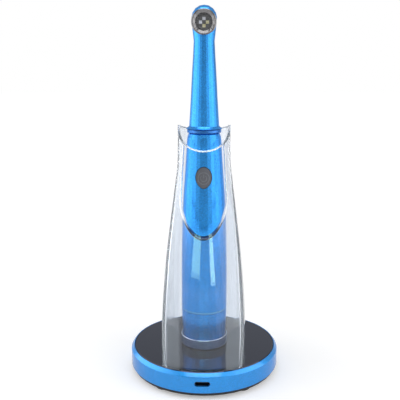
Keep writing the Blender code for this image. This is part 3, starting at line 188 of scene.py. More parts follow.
def link(name, bm, material, sharp_turn=SHARP_TURN):
    """Turn a bmesh into an object with smooth faces and sharp edges."""
    bmesh.ops.recalc_face_normals(bm, faces=bm.faces)
    mesh = bpy.data.meshes.new(name)
    bm.to_mesh(mesh)
    bm.free()
    mesh.shade_smooth()
    mesh.set_sharp_from_angle(angle=math.radians(sharp_turn))
    obj = bpy.data.objects.new(name, mesh)
    bpy.context.scene.collection.objects.link(obj)
    if material:
        mesh.materials.append(material)
    return obj


def skin(bm, first, second):
    """Join two rings that have as many corners, and return the faces."""
    sides = len(first)
    corners = [(i, (i + 1) % sides) for i in range(sides)]
    return [bm.faces.new((first[i], first[j], second[j], second[i])) for i, j in corners]


def softened(profile, cuts):
    """The profile with each corner rounded, from this far along the lines that meet there."""
    points = []
    for i, (place, cut) in enumerate(zip(profile, cuts)):
        corner = Vector(place)
        if not cut:
            points.append(corner)
            continue
        near = corner + (Vector(profile[i - 1]) - corner).normalized() * cut
        far = corner + (Vector(profile[(i + 1) % len(profile)]) - corner).normalized() * cut
        points += [near.lerp(corner, t).lerp(corner.lerp(far, t), t) for t in stepped(0.0, 1.0, ROUND_STEPS)]
    return points


def circles(bm, profile, sides):
    """A circle of corners about the vertical axis for each (radius, height) point."""
    turns = [2 * math.pi * i / sides for i in range(sides)]
    return [[bm.verts.new((r * math.cos(t), r * math.sin(t), z)) for t in turns] for r, z in profile]


def turned_ring(name, profile, sides, material):
    """A ring turned about the vertical axis from a closed profile of (radius, height) points."""
    bm = bmesh.new()
    rings = circles(bm, profile, sides)
    for first, second in zip(rings, rings[1:] + rings[:1]):
        skin(bm, first, second)
    return link(name, bm, material)


def prism(name, low, high):
    """A cutting tool between two matching loops of points."""
    bm = bmesh.new()
    loops = [[bm.verts.new(place) for place in loop] for loop in (low, high)]
    skin(bm, *loops)
    for loop in loops:
        bm.faces.new(loop)
    return link(name, bm, None)


def cut(piece, tools):
    """Cut the tools' shapes out of a piece, and remove the tools."""
    for tool in tools:
        modifier = piece.modifiers.new(tool.name, "BOOLEAN")
        modifier.solver = "EXACT"
        modifier.object = tool
    bpy.context.view_layer.update()
    mesh = bpy.data.meshes.new_from_object(piece.evaluated_get(bpy.context.evaluated_depsgraph_get()))
    piece.modifiers.clear()
    piece.data = mesh
    mesh.set_sharp_from_angle(angle=math.radians(SHARP_TURN))
    for tool in tools:
        bpy.data.objects.remove(tool, do_unlink=True)


# --- Material helpers ------------------------------------------------------------------------------------


class Tree:
    """A node tree, with short calls for what the finishes and the studio share."""

    def __init__(self, tree, place):
        self.tree = tree
        self.place = self.add("ShaderNodeTexCoord").outputs[place]

    def add(self, kind, **settings):
        made = self.tree.nodes.new(kind)
        for key, value in settings.items():
            setattr(made, key, value)
        return made

    def feed(self, socket, value):
        """Link an output to a socket, or set the socket to a plain value."""
        if isinstance(value, bpy.types.NodeSocket):
            self.tree.links.new(value, socket)
        elif isinstance(value, tuple) and len(value) == 3 and socket.type == "RGBA":
            socket.default_value = (*value, 1.0)
        else:
            socket.default_value = value

    def math(self, operation, first, second=0.0):
        made = self.add("ShaderNodeMath", operation=operation)
        self.feed(made.inputs[0], first)
        self.feed(made.inputs[1], second)
        return made.outputs[0]

    def axis(self, letter):
        made = self.add("ShaderNodeSeparateXYZ")
        self.feed(made.inputs[0], self.place)
        return made.outputs[letter]

    def remap(self, value, low, high, to_low=0.0, to_high=1.0, **settings):
        made = self.add("ShaderNodeMapRange", **settings)
        self.feed(made.inputs["Value"], value)
        for key, number in (("From Min", low), ("From Max", high), ("To Min", to_low), ("To Max", to_high)):
            self.feed(made.inputs[key], number)
        return made.outputs["Result"]

    def choose(self, share, first, second):
        """The first number, or the second where share is 1."""
        made = self.add("ShaderNodeMix")
        for key, value in (("Factor", share), ("A", first), ("B", second)):
            self.feed(made.inputs[key], value)
        return made.outputs["Result"]

    def by_ray(self, room, mirrored, seen):
        """A level for light on the object, one for what mirrors show, and one for what is seen straight.

        The camera and clear things see it straight. A ray that was mirrored and is deep inside a clear thing
        shows what mirrors show.
        """
        rays = self.add("ShaderNodeLightPath").outputs
        level = self.choose(rays["Is Glossy Ray"], room, mirrored)
        level = self.choose(rays["Is Transmission Ray"], level, seen)
        deep = rays["Is Transmission Ray"]
        for depth, least in (("Glossy Depth", 0.5), ("Transmission Depth", 2.5)):
            deep = self.math("MULTIPLY", self.math("GREATER_THAN", rays[depth], least), deep)
        level = self.choose(deep, level, mirrored)
        return self.choose(rays["Is Camera Ray"], level, seen)


class Nodes(Tree):
    """A new material's node tree. Sizes and depths in its calls are in millimetres."""

    def __init__(self, name):
        self.material = bpy.data.materials.new(name)
        self.material.use_nodes = True
        super().__init__(self.material.node_tree, "Object")
        self.shader = self.tree.nodes["Principled BSDF"]

    def set(self, **values):
        for key, value in values.items():
            self.feed(self.shader.inputs[key.replace("_", " ")], value)

    def noise(self, size, detail=2.0, roughness=0.5, place=None):
        """Noise from 0 to 1 whose features are about this size."""
        made = self.add("ShaderNodeTexNoise")
        self.feed(made.inputs["Vector"], place or self.place)
        made.inputs["Scale"].default_value = 1 / (size * MM)
        made.inputs["Detail"].default_value = detail
        made.inputs["Roughness"].default_value = roughness
        return made.outputs["Fac"]

    def cells(self, size):
        """A random number from 0 to 1 for each small cell."""
        made = self.add("ShaderNodeTexVoronoi")
        self.feed(made.inputs["Vector"], self.place)
        made.inputs["Scale"].default_value = 1 / (size * MM)
        apart = self.add("ShaderNodeSeparateColor")
        self.feed(apart.inputs[0], made.outputs["Color"])
        return apart.outputs[0]

    def vary(self, low, high, *noise):
        """A number that wanders between two levels, as noise of this size and detail does."""
        return self.remap(self.noise(*noise), 0.3, 0.7, low, high)

    def blend(self, share, first, second):
        made = self.add("ShaderNodeMix", data_type="RGBA")
        self.feed(made.inputs[0], share)
        first_socket, second_socket = [s for s in made.inputs if s.type == "RGBA"][:2]
        self.feed(first_socket, first)
        self.feed(second_socket, second)
        return [s for s in made.outputs if s.type == "RGBA"][0]

    def bump(self, height, depth, strength=0.5):
        """Tilt the surface by a height between 0 and 1 whose full range is this deep."""
        made = self.add("ShaderNodeBump")
        made.inputs["Strength"].default_value = strength
        made.inputs["Distance"].default_value = depth * MM
        self.feed(made.inputs["Height"], height)
        self.feed(self.shader.inputs["Normal"], made.outputs["Normal"])

    def clear_shadow(self, colour):
        """Let light through to what is behind or inside, tinted with this colour."""
        clear = self.add("ShaderNodeBsdfTransparent")
        self.feed(clear.inputs["Color"], colour)
        mix = self.add("ShaderNodeMixShader")
        self.feed(mix.inputs[0], self.add("ShaderNodeLightPath").outputs["Is Shadow Ray"])
        self.feed(mix.inputs[1], self.shader.outputs[0])
        self.feed(mix.inputs[2], clear.outputs[0])
        self.feed(self.tree.nodes["Material Output"].inputs["Surface"], mix.outputs[0])


def scaled(colour, by):
    return tuple(min(c * by, 1.0) for c in colour)


def pearl(name, colour, roughness, metallic=0.92, coat=0.5, grain=0.22, depth=0.01, coat_roughness=0.22):
    """Pearl lacquer: fine flakes, a faint cloudiness and a clear coat. It is bluer at grazing angles."""
    n = Nodes(name)
    flakes = n.remap(n.cells(0.38), 0.0, 1.0, 1.0 - grain, 1.0 + grain)
    fine = n.vary(1.0 - grain / 2, 1.0 + grain / 2, 0.7, 3.0, 0.6)
    cloud = n.vary(0.0, 1.0, 14.0, 2.0)
    shade = n.add("ShaderNodeVectorMath", operation="SCALE")
    n.feed(shade.inputs[0], n.blend(cloud, scaled(colour, 0.95), scaled(colour, 1.05)))
    n.feed(shade.inputs["Scale"], n.math("MULTIPLY", flakes, fine))
    n.set(Base_Color=shade.outputs[0], Metallic=metallic, Specular_Tint=(0.26, 0.57, 0.88))
    n.set(Coat_Weight=coat, Coat_Roughness=coat_roughness)
    n.set(Roughness=n.vary(roughness - 0.04, roughness + 0.04, 0.4, 3.0))
    n.bump(n.noise(0.3, 2.0), depth)
    return n.material


def moulded(name, colour, roughness, size=0.35, depth=0.012, speck=0.08, metallic=0.0, coat=0.0):
    """Moulded plastic or rubber: a fine spark-eroded texture with slight changes of tone and gloss."""
    n = Nodes(name)
    fine = n.noise(size, 4.0, 0.6)
    colours = n.blend(n.vary(0.0, 1.0, 6.0, 3.0), scaled(colour, 1.0 - speck), scaled(colour, 1.0 + speck))
    lighter = n.blend(n.remap(fine, 0.45, 0.75), colours, scaled(colour, 1.0 + 3 * speck))
    n.set(Base_Color=lighter, Metallic=metallic, Coat_Weight=coat)
    n.set(Roughness=n.vary(roughness - 0.06, roughness + 0.06, size * 2, 3.0))
    n.bump(fine, depth)
    return n.material


def turned_metal(name, colour, roughness, centre=(0.0, 0.0), axes="XZ", along="Y"):
    """Lathe-turned metal: fine rings about an axis."""
    n = Nodes(name)
    first = n.math("SUBTRACT", n.axis(axes[0]), centre[0])
    second = n.math("SUBTRACT", n.axis(axes[1]), centre[1])
    squares = n.math("ADD", n.math("MULTIPLY", first, first), n.math("MULTIPLY", second, second))
    joined = n.add("ShaderNodeCombineXYZ")
    n.feed(joined.inputs[0], n.math("SQRT", squares))
    n.feed(joined.inputs[1], n.axis(along))
    rings = n.noise(0.09, 3.0, 0.65, place=joined.outputs[0])
    tone = n.blend(rings, scaled(colour, 0.78), scaled(colour, 1.12))
    n.set(Base_Color=n.blend(n.vary(0.0, 0.3, 2.5, 2.0), tone, scaled(colour, 0.7)), Metallic=1.0)
    n.set(Roughness=n.remap(rings, 0.3, 0.7, roughness - 0.06, roughness + 0.08))
    n.bump(rings, 0.004, 0.6)
    return n.material


def plate_finish():
    """Polished black: a weak mirror with dust-fine haze."""
    n = Nodes("plate_black")
    specks = n.remap(n.noise(0.6, 5.0, 0.7), 0.62, 0.75)
    n.set(Base_Color=n.blend(specks, (0.075, 0.080, 0.102), (0.095, 0.100, 0.122)))
    n.set(Metallic=1.0, Specular_Tint=(0.87, 0.90, 0.96))
    n.set(Roughness=n.vary(0.035, 0.06, 9.0, 4.0))
    n.bump(n.noise(25.0, 1.0), 0.004, 0.3)
    return n.material


def acrylic(name, lip=False):
    """Clear acrylic: polished, with slightly hazy sides and rim. At the window's low end the lip is painted
    dark navy, as painted shade.
    """
    n = Nodes(name)
    middle = n.remap(n.axis("Z"), *SIDES_CHANGE, *SIDES_FROM)
    sides = n.remap(n.math("SUBTRACT", n.math("ABSOLUTE", n.axis("X")), middle), 0.0, SIDES_FADE)
    rim = n.math("MULTIPLY", n.remap(n.axis("Z"), *RIM_HAZE_HEIGHTS), n.remap(n.axis("Y"), *RIM_HAZE_DEPTHS))
    smears = n.remap(n.noise(16.0, 3.0), 0.35, 0.7, 0.9, 1.1)
    haze = n.math("ADD", n.math("MULTIPLY", sides, SIDES_HAZE), n.math("MULTIPLY", rim, RIM_HAZE))
    clear_part = n.math("SUBTRACT", 1.0, n.math("MULTIPLY", haze, smears))
    colour = n.blend(sides, (0.94, 0.965, 0.985), (0.775, 0.81, 0.865))
    if lip:
        # painted shade: low on the window's edge the acrylic is coloured dark navy, standing in for the
        # shade seen in the lip
        colour = n.blend(n.remap(n.axis("Z"), *LIP_SHADE_HEIGHTS), (0.012, 0.030, 0.060), colour)
    n.set(Base_Color=colour, Transmission_Weight=clear_part, IOR=1.49, Specular_IOR_Level=0.2)
    n.set(Roughness=n.vary(0.0, 0.02, 8.0, 4.0))
    n.clear_shadow((0.93, 0.94, 0.95))
    return n.material


def lamp_glass():
    """The lamp's window: clear glass with faint smears."""
    n = Nodes("lamp_glass")
    n.set(Base_Color=n.blend(n.noise(3.0), (0.9, 0.93, 0.95), (0.96, 0.97, 0.98)))
    n.set(Transmission_Weight=1.0, IOR=1.5, Roughness=n.vary(0.0, 0.03, 1.5, 3.0))
    n.clear_shadow((0.92, 0.93, 0.94))
    return n.material


def board(name, mask, track):
    """A circuit board: solder mask over faint tracks, with a few bare pads."""
    n = Nodes(name)
    bricks = n.add("ShaderNodeTexBrick")
    n.feed(bricks.inputs["Vector"], n.place)
    bricks.inputs["Scale"].default_value = 1.0
    for key, number in (("Brick Width", 3.1), ("Row Height", 0.9), ("Mortar Size", 0.12)):
        bricks.inputs[key].default_value = number * MM
    for key, colour in (("Color1", mask), ("Color2", scaled(mask, 1.25)), ("Mortar", track)):
        n.feed(bricks.inputs[key], colour)
    tone = n.vary(0.0, 0.25, 0.8, 3.0)
    n.set(Base_Color=n.blend(tone, bricks.outputs["Color"], scaled(mask, 0.7)), Coat_Weight=0.3)
    n.set(Roughness=n.vary(0.3, 0.45, 0.5))
    n.bump(n.math("SUBTRACT", 1.0, bricks.outputs["Fac"]), 0.02, 0.5)
    return n.material


def wound(name, colour):
    """Enamelled wire wound in flat rings about the vertical axis, with painted shade in the grooves between
    turns.
    """
    n = Nodes(name)
    pitch = 0.32 * MM
    x, y = n.axis("X"), n.axis("Y")
    radius = n.math("SQRT", n.math("ADD", n.math("MULTIPLY", x, x), n.math("MULTIPLY", y, y)))
    ridge = n.remap(n.math("SINE", n.math("MULTIPLY", radius, 2 * math.pi / pitch)), -1.0, 1.0)
    # painted shade: the colour falls to 0.45 of itself in the grooves between turns
    n.set(Base_Color=n.blend(ridge, scaled(colour, 0.45), colour), Metallic=0.9)
    n.set(Roughness=n.vary(0.22, 0.36, 0.6))
    n.bump(ridge, 0.08, 0.8)
    return n.material


def chips(name, first, second):
    """A lamp chip: mottled phosphor or bare die under a clear skin."""
    n = Nodes(name)
    n.set(Base_Color=n.blend(n.remap(n.noise(0.7, 3.0), 0.35, 0.65), first, second), Metallic=0.3)
    n.set(Roughness=n.vary(0.12, 0.3, 0.3), Coat_Weight=0.6)
    n.bump(n.noise(0.25, 2.0), 0.02)
    return n.material


# --- The clear holder, at a finer step than the CAD solid that it replaces -------------------------------


def soft_min(a, b, softness):
    """The smaller of two lengths, blended where they are nearly equal."""
    overlap = max(softness - abs(a - b), 0.0) / softness
    return min(a, b) - overlap * overlap * softness / 4


def holder_side(depth, height, inset):
    """Half the holder's width at one depth from the axis: the sides bow out slightly."""
    return curve_through(HOLDER_WIDTHS, height) - inset - depth * depth / (2 * HOLDER_SIDE_RADIUS)


def holder_corner(height, inset):
    """The direction of the corner between the round front and the side. Turn 0 faces the front."""
    radius = curve_through(HOLDER_DEPTHS, height) - inset
    depth = 0.0
    for _ in range(SETTLING):
        width = min(holder_side(depth, height, inset), HOLDER_WIDEST_FRONT * radius)
        depth = math.sqrt(radius * radius - width * width)
    return math.asin(width / radius)


def holder_radius(turn, height, inset):
    """The holder's outside at one height and direction, moved in by inset."""
    sine = max(abs(math.sin(turn)), 0.001)
    radius = curve_through(HOLDER_DEPTHS, height) - inset
    depth = min(holder_side(0.0, height, inset) * abs(math.cos(turn)) / sine, radius)
    return soft_min(radius, holder_side(depth, height, inset) / sine, HOLDER_CORNER)


def holder_point(turn, height, inset):
    radius = holder_radius(turn, height, inset)
    return Vector((radius * math.sin(turn), -radius * math.cos(turn), height))


def holder_wall(height):
    return between(HOLDER_WALL_FOOT, HOLDER_WALL_TOP, min(max(height / HOLDER_SIDE_PEAK, 0.0), 1.0))


def holder_rim_height(turn):
    """The rim dips in a deep curve at the front and a shallow one at the back."""
    facing = math.cos(turn)
    dip = HOLDER_FRONT_DIP if facing > 0 else HOLDER_BACK_DIP
    return HOLDER_SIDE_PEAK - dip * abs(facing) ** HOLDER_DIP_SHAPE


def front_edge(height, inset):
    """The direction where the round front gives way to the soft corner."""
    return holder_corner(height, inset) - HOLDER_CORNER_TURN


def side_turns(height, inset):
    """Directions from the front's right edge round the sides and back to its left edge."""
    corner = holder_corner(height, inset)
    soft = HOLDER_CORNER_TURN
    side = stepped(corner - soft, corner + soft, HOLDER_CORNER_STEPS)
    side += stepped(corner + soft, math.pi - corner - soft, HOLDER_SIDE_STEPS)[1:-1]
    side += stepped(math.pi - corner - soft, math.pi - corner + soft, HOLDER_CORNER_STEPS)
    back = stepped(side[-1], 2 * math.pi - side[-1], HOLDER_ARC_STEPS)[1:-1]
    return side + back + [2 * math.pi - turn for turn in side[::-1]]


def holder_place(turn_at, share, inward):
    """The point a share of the way up from the foot, in the direction that turn_at gives for a height."""
    height = between(HOLDER_LOW, HOLDER_SIDE_PEAK, share)
    for _ in range(SETTLING):
        inset = holder_wall(height) if inward else 0.0
        turn = turn_at(height, inset)
        height = between(HOLDER_LOW, holder_rim_height(turn), share)
    return holder_point(turn, height, inset)


def front_place(across, share, inward):
    """A point of the front panel. Across runs from -1 at its left edge to 1 at its right edge."""
    return holder_place(lambda height, inset: across * front_edge(height, inset), share, inward)


def side_place(column, share, inward):
    return holder_place(lambda height, inset: side_turns(height, inset)[column], share, inward)


def window_end(reach, end, angle):
    """A point of the window's rounded end, as (x, height): the angle runs from one side to the other."""
    across = math.copysign(abs(math.cos(angle)) ** WINDOW_END_SHAPE, math.cos(angle))
    return -reach * across, WINDOW_BEND - end * math.sin(angle) ** WINDOW_END_SHAPE


def window_edge(depth):
    """The window's outline at one depth, as (x, height) points: its end's lip rises inwards."""
    grow = holder_wall(WINDOW_BEND) / 2
    mouth = HOLDER_DEPTHS[-1][1] * MM
    wide = WINDOW_TOP_HALF_WIDTH + grow
    top = [
        (x, holder_rim_height(math.asin(x / mouth)) - HOLDER_BRIDGE + grow)
        for x in stepped(wide, -wide, HOLDER_ARC_STEPS)
    ]
    end = WINDOW_END + grow + (depth - WINDOW_END_FACE) * WINDOW_LIP_SLOPE
    reach = WINDOW_HALF_WIDTH + grow
    side = []
    for share in stepped(0.0, 1.0, HOLDER_ROWS)[1:-1]:
        down = share / WINDOW_STRAIGHT_SHARE
        if down < 1:
            side.append((between(-wide, -reach, down), between(top[-1][1], WINDOW_BEND, down)))
        else:
            angle = math.radians(45) * (share - WINDOW_STRAIGHT_SHARE) / (1 - WINDOW_STRAIGHT_SHARE)
            side.append(window_end(reach, end, angle))
    angles = stepped(math.radians(45), math.radians(135), HOLDER_ARC_STEPS)
    bottom = [window_end(reach, end, angle) for angle in angles]
    return top + side + bottom + [(-x, height) for x, height in side[::-1]]


def window_loop(inward):
    """The window's edge on one face of the wall, as (across, share) places in the front panel."""
    places = []
    for i in range(len(window_edge(0.0))):
        depth = WINDOW_END_FACE
        for _ in range(SETTLING):
            x, height = window_edge(depth)[i]
            inset = holder_wall(height) if inward else 0.0
            radius = curve_through(HOLDER_DEPTHS, height) - inset
            turn = math.asin(x / radius)
            depth = radius * math.cos(turn)
        share = (height - HOLDER_LOW) / (holder_rim_height(turn) - HOLDER_LOW)
        places.append((turn / front_edge(height, inset), share))
    return places


def holder_face(bm, inward):
    """One face of the wall. It returns its top, bottom and window loops."""
    shares = stepped(0.0, 1.0, HOLDER_ROWS)
    columns = range(len(side_turns(0.0, 0.0)))
    grid = [[bm.verts.new(side_place(column, share, inward)) for column in columns] for share in shares]
    for low, high in zip(grid, grid[1:]):
        for i in columns[:-1]:
            bm.faces.new((low[i], low[i + 1], high[i + 1], high[i]))
    across = stepped(1.0, -1.0, HOLDER_ARC_STEPS)[1:-1]
    top = [bm.verts.new(front_place(place, 1.0, inward)) for place in across]
    bottom = [bm.verts.new(front_place(-place, 0.0, inward)) for place in across]
    left = [row[-1] for row in grid[::-1]]
    right = [row[0] for row in grid]
    outer = [right[-1]] + top + left + bottom + right[:-1]
    places = [(1.0, 1.0)] + [(place, 1.0) for place in across] + [(-1.0, share) for share in shares[::-1]]
    places += [(-place, 0.0) for place in across] + [(1.0, share) for share in shares[:-1]]
    window = window_loop(inward)
    rings = []
    for t in stepped(0.0, 1.0, HOLDER_RINGS)[:-1]:
        ring = [(between(a[0], b[0], t), between(a[1], b[1], t)) for a, b in zip(window, places)]
        rings.append([bm.verts.new(front_place(place[0], place[1], inward)) for place in ring])
    rings.append(outer)
    for first, second in zip(rings, rings[1:]):
        skin(bm, first, second)
    return grid[-1] + top[::-1], grid[0] + bottom, rings[0]


def rounded_edge(bm, outside, inside):
    """Join two matching loops of the wall's edge with a soft-cornered flat, and return its faces."""
    middles = [(outer.co + inner.co) / 2 for outer, inner in zip(outside, inside)]
    rows = [outside]
    for step in range(1, HOLDER_EDGE_STEPS):
        angle = math.pi * step / HOLDER_EDGE_STEPS
        cos, sin = math.cos(angle), math.sin(angle)
        aside, ahead = math.copysign(abs(cos) ** EDGE_SQUARENESS, cos), sin**EDGE_SQUARENESS
        row = []
        for i, middle in enumerate(middles):
            reach = (outside[i].co - inside[i].co) / 2
            along = middles[(i + 1) % len(middles)] - middles[i - 1]
            out = along.cross(reach).normalized()
            row.append(bm.verts.new(middle + reach * aside + out * reach.length * ahead))
        rows.append(row)
    rows.append(inside)
    faces = []
    for first, second in zip(rows, rows[1:]):
        faces += skin(bm, first, second)
    return faces


def make_holder(material, lip_shade_material):
    bm = bmesh.new()
    outer_top, outer_bottom, outer_window = holder_face(bm, inward=False)
    inner_top, inner_bottom, inner_window = holder_face(bm, inward=True)
    skin(bm, outer_bottom, inner_bottom)
    rounded_edge(bm, outer_top, inner_top)
    # the window's edge takes the second finish, whose low end carries the painted shade
    for face in rounded_edge(bm, outer_window, inner_window):
        face.material_index = 1
    bmesh.ops.translate(bm, verts=bm.verts, vec=(0, 0, PLATE))
    made = link("holder_clear", bm, material, HOLDER_SHARP_TURN)
    made.data.materials.append(lip_shade_material)
    return made


# --- Turned rings, at a finer step than the CAD solids that they replace ---------------------------------


def slot_tool(name, size, grow, near):
    """A tool for a slot with round ends at the port. It begins this far along Y."""
    radius = size[1] / 2 + grow
    reach = size[0] / 2 - size[1] / 2
    loops = []
    for depth in (near, TOOL_FAR):
        loops.append([
            (side * reach + radius * math.cos(angle), depth, PORT_CENTRE + radius * math.sin(angle))
            for side, start in ((1, -90), (-1, 90))
            for angle in stepped(math.radians(start), math.radians(start + 180), TOOL_END_STEPS)
        ])
    return prism(name, *loops)


def screw_hole_tool(turn):
    """A tool for the screw hole in this direction."""
    loops = []
    for height in (RIM_CLEARANCE - MM, RIM_FLANGE_TOP + MM):
        centre = Vector((SCREW_CIRCLE * math.cos(turn), SCREW_CIRCLE * math.sin(turn), height))
        around = stepped(0.0, 2 * math.pi, SCREW_HOLE_SIDES)[:-1]
        ways = [Vector((math.cos(angle), math.sin(angle), 0.0)) for angle in around]
        loops.append([centre + way * SCREW_HOLE_RADIUS for way in ways])
    return prism("screw_hole", *loops)


def make_rim(material):
    ledge_top = PLATE_BOTTOM - GAP
    seat = RIM_RADIUS - RIM_CHAMFER_WIDTH
    ledge_edge = seat - RIM_LEDGE - GAP
    flange = RIM_INSIDE - RIM_FLANGE_WIDTH
    corners = (
        ((RIM_RADIUS, RIM_CLEARANCE), RIM_SOFT_FOOT),
        ((RIM_RADIUS, PLATE - RIM_CHAMFER_HEIGHT), RIM_SOFT),
        ((seat + RIM_EDGE_BREAK, PLATE), RIM_SOFT),
        ((seat, PLATE - RIM_EDGE_BREAK), 0.0),
        ((seat, ledge_top), 0.0),
        ((ledge_edge, ledge_top), 0.0),
        ((ledge_edge, ledge_top - RIM_LEDGE_DROPS[0]), 0.0),
        ((RIM_INSIDE, ledge_top - RIM_LEDGE_DROPS[1]), 0.0),
        ((RIM_INSIDE, RIM_FLANGE_TOP), 0.0),
        ((flange, RIM_FLANGE_TOP), 0.0),
        ((flange, RIM_CLEARANCE), 0.0),
    )
    made = turned_ring("rim", softened(*zip(*corners)), RIM_SIDES, material)
    slot = slot_tool("slot", SLOT_SIZE, 0.0, TOOL_NEAR)
    pocket = slot_tool("pocket", PORT_SIZE, GAP, PORT_FRONT - GAP)
    screw_turns = (SCREW_ANGLE, math.pi - SCREW_ANGLE, math.pi + SCREW_ANGLE, -SCREW_ANGLE)
    cut(made, [slot, pocket] + [screw_hole_tool(turn) for turn in screw_turns])
    return made


def square_ring(name, radii, heights, soft, material):
    """A ring of square section with rounded edges."""
    inside, outside = radii
    low, high = (PLATE + height for height in heights)
    corners = ((outside, low), (outside, high), (inside, high), (inside, low))
    return turned_ring(name, softened(corners, (soft,) * 4), RING_SIDES, material)


def paint_edge_highlight(ring, radius, height, material):
    """Give the faces above this height and outside this radius a pale metal finish: a painted highlight."""
    ring.data.materials.append(material)
    for face in ring.data.polygons:
        if face.center.z > height and math.hypot(face.center.x, face.center.y) > radius:
            face.material_index = 1


# --- The power symbol on the button ----------------------------------------------------------------------


def button_face(x, z):
    """How far the button's face lies in front of the handset's axis, at a place on it."""
    radius = curve_through(BODY_STATIONS, z - PLATE) + BUTTON_PROUD
    return math.sqrt(max(radius * radius - x * x, 0.0))


def bead(bm, path):
    """A raised bead on the button's face, along a path of (x, z) points that may end where it began."""
    closed = path[0] == path[-1]
    corners = path[:-1] if closed else path
    last = len(corners) - 1
    rings = []
    for i, (x, z) in enumerate(corners):
        before = corners[i - 1] if closed else corners[max(i - 1, 0)]
        after = corners[(i + 1) % len(corners)] if closed else corners[min(i + 1, last)]
        along = Vector((after[0] - before[0], after[1] - before[1])).normalized()
        ring = []
        for aside, up in BEAD_PROFILE:
            px, pz = x - along.y * aside * BEAD_WIDTH / 2, z + along.x * aside * BEAD_WIDTH / 2
            ring.append(bm.verts.new((px, -(button_face(px, pz) + up * BEAD_RISE), pz)))
        rings.append(ring)
    following = rings[1:] + rings[:1] if closed else rings[1:]
    for first, second in zip(rings, following):
        skin(bm, first, second)
    if not closed:
        bm.faces.new(rings[0])
        bm.faces.new(rings[-1])


def make_symbol(material):
    middle = PLATE + BUTTON_CENTRE - SYMBOL_DROP
    turns = stepped(0.0, 2 * math.pi, 60)
    half_width, half_height = SYMBOL_LOOP
    loop = [(math.sin(a) * half_width, middle + math.cos(a) * half_height) for a in turns]
    turns = stepped(math.radians(SYMBOL_ARC_START), math.radians(360 - SYMBOL_ARC_START), 36)
    arc = [(math.sin(a) * SYMBOL_ARC, middle + math.cos(a) * SYMBOL_ARC) for a in turns]
    low, high = SYMBOL_BAR
    bar = [(0.0, z) for z in stepped(middle + low, middle + high, 6)]
    bm = bmesh.new()
    for path in (loop[:-1] + loop[:1], arc, bar):
        bead(bm, path)
    return link("button_symbol", bm, material, SYMBOL_SHARP_TURN)


# --- Finishes --------------------------------------------------------------------------------------------

HEAD_CENTRE = (0.0, PLATE + HEAD_HEIGHT)
finishes = {
    "shell_blue": pearl("shell_blue", (0.016, 0.305, 0.82), 0.29, coat=0.7, coat_roughness=0.3),
    "rim_blue": pearl(
        "rim_blue", (0.016, 0.305, 0.81), 0.34,
        metallic=0.75, coat=1.0, grain=0.10, depth=0.004, coat_roughness=0.12,
    ),
    "collar_blue": pearl("collar_blue", (0.028, 0.17, 0.52), 0.35),
    # the dock ring is black gloss; the dark blue in its colour is painted reflection of the blue handset
    "dock_painted_blue_reflection": pearl("dock_painted_blue_reflection", (0.065, 0.105, 0.22), 0.42, metallic=0.6, coat=1.0, coat_roughness=0.1),
    # painted highlight: pale metal for the bright line along the dock ring's top outer edge
    "dock_edge_painted_highlight": turned_metal("dock_edge_painted_highlight", (0.74, 0.82, 0.90), 0.2, axes="XY", along="Z"),
    # painted highlight: the seal is pale blue so that the seam shows as a light line
    "seal_painted_highlight": moulded("seal_painted_highlight", (0.12, 0.42, 0.75), 0.4),
    "plate_black": plate_finish(),
    "rubber_black": moulded("rubber_black", (0.022, 0.022, 0.024), 0.62),
    "button_rubber": moulded("button_rubber", (0.085, 0.090, 0.105), 0.6, size=0.25, depth=0.015),
    "symbol_rubber": moulded("symbol_rubber", (0.16, 0.17, 0.19), 0.45, size=0.25, depth=0.008),
    "cover_black": moulded("cover_black", (0.016, 0.017, 0.019), 0.45, size=0.3, depth=0.02),
    "steel": turned_metal("steel", (0.27, 0.265, 0.27), 0.22, centre=HEAD_CENTRE),
    "screw_steel": moulded("screw_steel", (0.5, 0.5, 0.52), 0.3, metallic=1.0, depth=0.004),
    "port_steel": moulded("port_steel", (0.32, 0.33, 0.36), 0.32, metallic=1.0, depth=0.003),
    "port_black": moulded("port_black", (0.02, 0.02, 0.022), 0.4),
    "board_green": board("board_green", (0.012, 0.11, 0.045), (0.03, 0.19, 0.08)),
    "ferrite": moulded("ferrite", (0.045, 0.042, 0.040), 0.55, size=0.2, depth=0.02, speck=0.15),
    "coil_copper": wound("coil_copper", (0.72, 0.33, 0.16)),
    "spring_metal": turned_metal("spring_metal", (0.74, 0.58, 0.30), 0.25, axes="XY", along="Z"),
    "carrier_grey": moulded("carrier_grey", (0.22, 0.23, 0.24), 0.5),
    "cell_wrap": moulded("cell_wrap", (0.03, 0.17, 0.12), 0.28, size=1.2, depth=0.01, coat=0.4),
    "lamp_glass": lamp_glass(),
    "reflector": turned_metal("reflector", (0.80, 0.81, 0.83), 0.16, centre=HEAD_CENTRE),
    "lamp_board": moulded("lamp_board", (0.03, 0.03, 0.032), 0.4, size=0.3, depth=0.01, coat=0.2),
    "lamp_chip": chips("lamp_chip", (0.62, 0.52, 0.16), (0.86, 0.82, 0.58)),
    "lamp_die": chips("lamp_die", (0.70, 0.70, 0.78), (0.88, 0.88, 0.94)),
    "shaft_steel": turned_metal("shaft_steel", (0.55, 0.55, 0.57), 0.3, axes="XY", along="Z"),
    "spreader_copper": turned_metal("spreader_copper", (0.72, 0.36, 0.2), 0.3, centre=HEAD_CENTRE),
}

